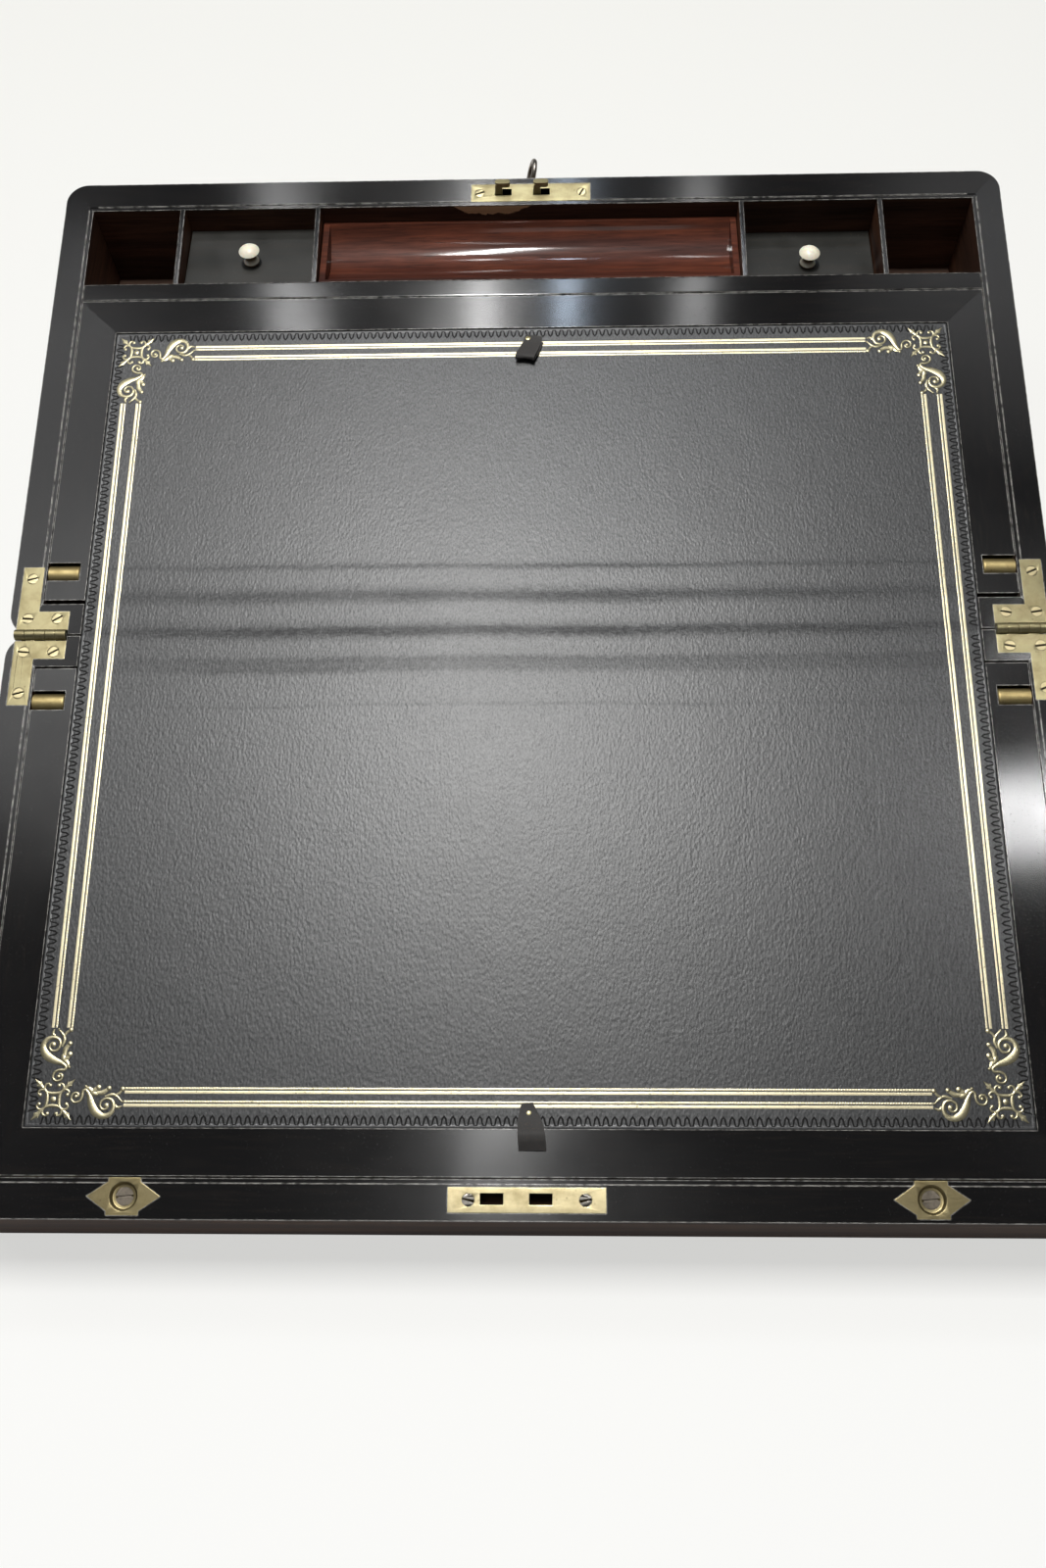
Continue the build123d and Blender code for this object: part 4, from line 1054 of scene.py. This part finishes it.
def tape_shader(name):
    """Black tape with a brown fuzz."""
    s = Shader(name, Sheen_Weight=0.15)
    fuzz = s.noise(1800, 4, 0.6)
    cloud = s.noise(300, 3)
    colour = s.mix(cloud, (0.020, 0.019, 0.018), (0.036, 0.033, 0.031))
    colour = s.mix(s.remap(fuzz, 0.55, 0.75), colour, (0.060, 0.042, 0.030))
    return s.finish(Base_Color=colour, Roughness=0.7, Normal=s.bump(fuzz, 0.0001, 0.6))


finish["tape"] = tape_shader("tab_tape")
TAPE_THICKNESS = 0.5
TAB_STEP = 0.3


def strip(name, spine, widths, ribs=None):
    """A closed tape along a spine of (x, v, w) points, with its half width at each."""
    spine = np.asarray(spine, float)
    ahead = np.gradient(spine, axis=0)
    ahead /= np.linalg.norm(ahead, axis=1, keepdims=True)
    made = Builder()
    rings = []
    for k, (point, forward, half) in enumerate(zip(spine, ahead, widths)):
        level = np.array((1.0, 0.0, 0.0))
        level -= forward * level.dot(forward)
        level /= np.linalg.norm(level)
        out = np.cross(level, forward)
        lift = TAPE_THICKNESS / 2 + (ribs(k / (len(spine) - 1)) if ribs else 0.0)
        across = np.linspace(-1, 1, 7)
        top = [tuple(point + level * half * a + out * lift * (1 - 0.35 * abs(a) ** 4))
               for a in across]
        low = [tuple(point + level * half * a - out * TAPE_THICKNESS / 2)
               for a in across[::-1]]
        rings.append(top + low)
    made.loft(rings)
    return made.make(name, finish["tape"])


def ground(x, v, over):
    """A point so far over the leather."""
    return (x, v, float(leather_height(x, v)) + over)


upper_spine = [
    ground(2.3, 133.4, 0.45), ground(2.0, 131.6, 0.55), ground(1.4, 129.0, 1.0),
    ground(0.4, 126.0, 1.9), ground(-0.7, 123.2, 2.7), ground(-1.2, 121.9, 2.85),
    ground(-1.4, 121.4, 2.45), ground(-1.2, 121.6, 1.95), ground(-0.2, 123.6, 1.55),
    ground(1.0, 126.4, 1.0), ground(2.0, 129.4, 0.45), ground(2.6, 131.2, 0.33),
]
upper_line = curve_through(upper_spine, TAB_STEP)
upper_half = swelling([3.4, 3.6, 3.7, 3.8, 3.85, 3.85, 3.85, 3.9, 3.9, 3.9, 3.9],
                      len(upper_line))


def cross_ribs(share):
    """Ribs on the tape's top before it doubles back, by share of its length."""
    return 0.11 * math.sin(share * 150) * (0.22 < share < 0.46)


upper_tab = strip("pull_tab_upper", upper_line, upper_half, cross_ribs)
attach(upper_tab, "upper_flap")
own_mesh(upper_tab)
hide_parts("upper_pull_tab")

lower_spine = [
    ground(0.8, -175.2, 0.42), ground(1.1, -178.0, 0.5), ground(1.5, -180.8, 1.0),
    ground(1.9, -183.2, 1.8), (2.2, -185.4, 2.2), (2.4, -187.4, 2.0), (2.5, -188.6, 1.5),
    (2.6, -190.0, 0.7), (2.6, -190.8, 0.3),
]
lower_line = curve_through(lower_spine, TAB_STEP)
lower_half = swelling([2.0, 2.9, 3.9, 4.4, 4.6, 4.7, 4.7], len(lower_line))
lower_tab = strip("pull_tab_lower", lower_line, lower_half)
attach(lower_tab, "lower_flap")
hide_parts("lower_pull_tab")

# ---- studio ----

FLOOR_REACH = 6.0
FLOOR_DROP = 0.0001
# how much of the floor is a glow, painted brighter towards the front, to the camera and in
# reflections
FLOOR_SEEN, FLOOR_MIRRORED = 0.58, 0.3


def floor_shader():
    """Pale paper, partly a glow, both painted brighter towards the front."""
    s = Shader("studio_floor", Roughness=0.9)
    path = s.node("ShaderNodeLightPath").outputs
    # painted light: the floor's colour and glow are brighter towards the front
    painted_front_light = s.remap(s.axis("Y"), 0.35, -0.45)
    s.finish(Base_Color=s.mix(painted_front_light, (0.78, 0.78, 0.755), (0.93, 0.93, 0.915)))
    tint = s.mix(painted_front_light, (0.96, 0.955, 0.915), (1.06, 1.06, 1.04))
    glow = s.node("ShaderNodeEmission", {"Color": tint, "Strength": 1.0})
    seen = s.sums("MAXIMUM", s.times(path["Is Camera Ray"], FLOOR_SEEN),
                  s.times(path["Is Glossy Ray"], FLOOR_MIRRORED))
    both = s.node("ShaderNodeMixShader", {0: seen, 1: s.bsdf.outputs[0], 2: glow.outputs[0]})
    s.feed(s.tree.nodes["Material Output"].inputs["Surface"], both.outputs[0])
    return s.material


floor_mesh = bpy.data.meshes.new("studio_floor")
corners = [(FLOOR_REACH * x, FLOOR_REACH * y, 0) for x, y in ((-1, -1), (1, -1), (1, 1), (-1, 1))]
floor_mesh.from_pydata(corners, [], [(0, 1, 2, 3)])
floor_mesh.materials.append(floor_shader())
floor = bpy.data.objects.new("studio_floor", floor_mesh)
scene.collection.objects.link(floor)
floor.location.z = -FLOOR_DROP

SURFACE = (0, FOLD_Y, FOLD_Z)


def lamp(name, at, size, power, colour=(1, 1, 1), towards=SURFACE, spread=180):
    """A rectangular lamp at a place, facing a point."""
    data = bpy.data.lights.new(name, "AREA")
    data.shape = "RECTANGLE"
    data.size, data.size_y = size
    data.energy = power
    data.color = colour
    data.spread = math.radians(spread)
    obj = bpy.data.objects.new(name, data)
    scene.collection.objects.link(obj)
    obj.location = at
    aim = Vector(towards) - Vector(at)
    obj.rotation_euler = aim.to_track_quat("-Z", "Y").to_euler()


lamp("front_fill", (0.05, -0.75, 0.95), (0.25, 0.2), 0.27, (1.0, 0.985, 0.96))
lamp("strip_main", (-0.095, 0.30, 1.87), (0.05, 0.5), 28.0, (1.0, 0.995, 0.98))
lamp("strip_front", (-0.112, -0.34, 1.87), (0.03, 0.2), 0.45)
lamp("strip_left", (-0.48, 1.05, 1.87), (0.05, 0.25), 1.6)
lamp("strip_right", (0.265, 1.10, 1.87), (0.05, 0.20), 0.8)
lamp("panel", (-0.25, 0.45, 1.95), (0.80, 0.8), 0.8)
lamp("back_left", (-0.13, 1.12, 1.87), (0.05, 0.14), 1.2)
lamp("back_blue", (0.03, 1.18, 1.87), (0.035, 0.12), 1.15, (0.70, 0.83, 1.0))
lamp("right_window", (0.70, 0.065, 1.50), (0.12, 0.08), 0.006,
     towards=(0.190, -0.18, 0.06), spread=6)
lamp("left_glow", (-0.85, 0.45, 1.25), (0.7, 0.7), 2.1)
lamp("right_glow", (0.75, 0.95, 1.45), (0.5, 0.5), 0.65)

# the sky's strength as a light, and as the camera sees it
SKY_LIGHT, SKY_SEEN = 0.085, 0.65
world = bpy.data.worlds.new("studio")
world.use_nodes = True
sky_tree = world.node_tree
sky = sky_tree.nodes["Background"]
sky.inputs["Color"].default_value = (0.92, 0.93, 0.95, 1)
sky_path = sky_tree.nodes.new("ShaderNodeLightPath")
sky_level = sky_tree.nodes.new("ShaderNodeMapRange")
sky_level.inputs["To Min"].default_value = SKY_LIGHT
sky_level.inputs["To Max"].default_value = SKY_SEEN
sky_tree.links.new(sky_path.outputs["Is Camera Ray"], sky_level.inputs["Value"])
sky_tree.links.new(sky_level.outputs["Result"], sky.inputs["Strength"])
scene.world = world
scene.view_settings.view_transform = "Standard"

# the camera that the photo was fitted to
camera_data = bpy.data.cameras.new("camera")
camera_data.sensor_fit = "HORIZONTAL"
camera_data.sensor_width = 36.0
camera_data.lens = 45.77
camera_data.clip_start = 0.01
camera = bpy.data.objects.new("camera", camera_data)
scene.collection.objects.link(camera)
right = Vector((0.999612, 0.0082, -0.026635))
up = Vector((0.003862, 0.905758, 0.423778))
back = Vector((0.027599, -0.423716, 0.905374))
turn = Matrix((right, up, back)).transposed().to_4x4()
camera.matrix_world = Matrix.Translation((0.01229, -0.3733, 0.50217)) @ turn
scene.camera = camera
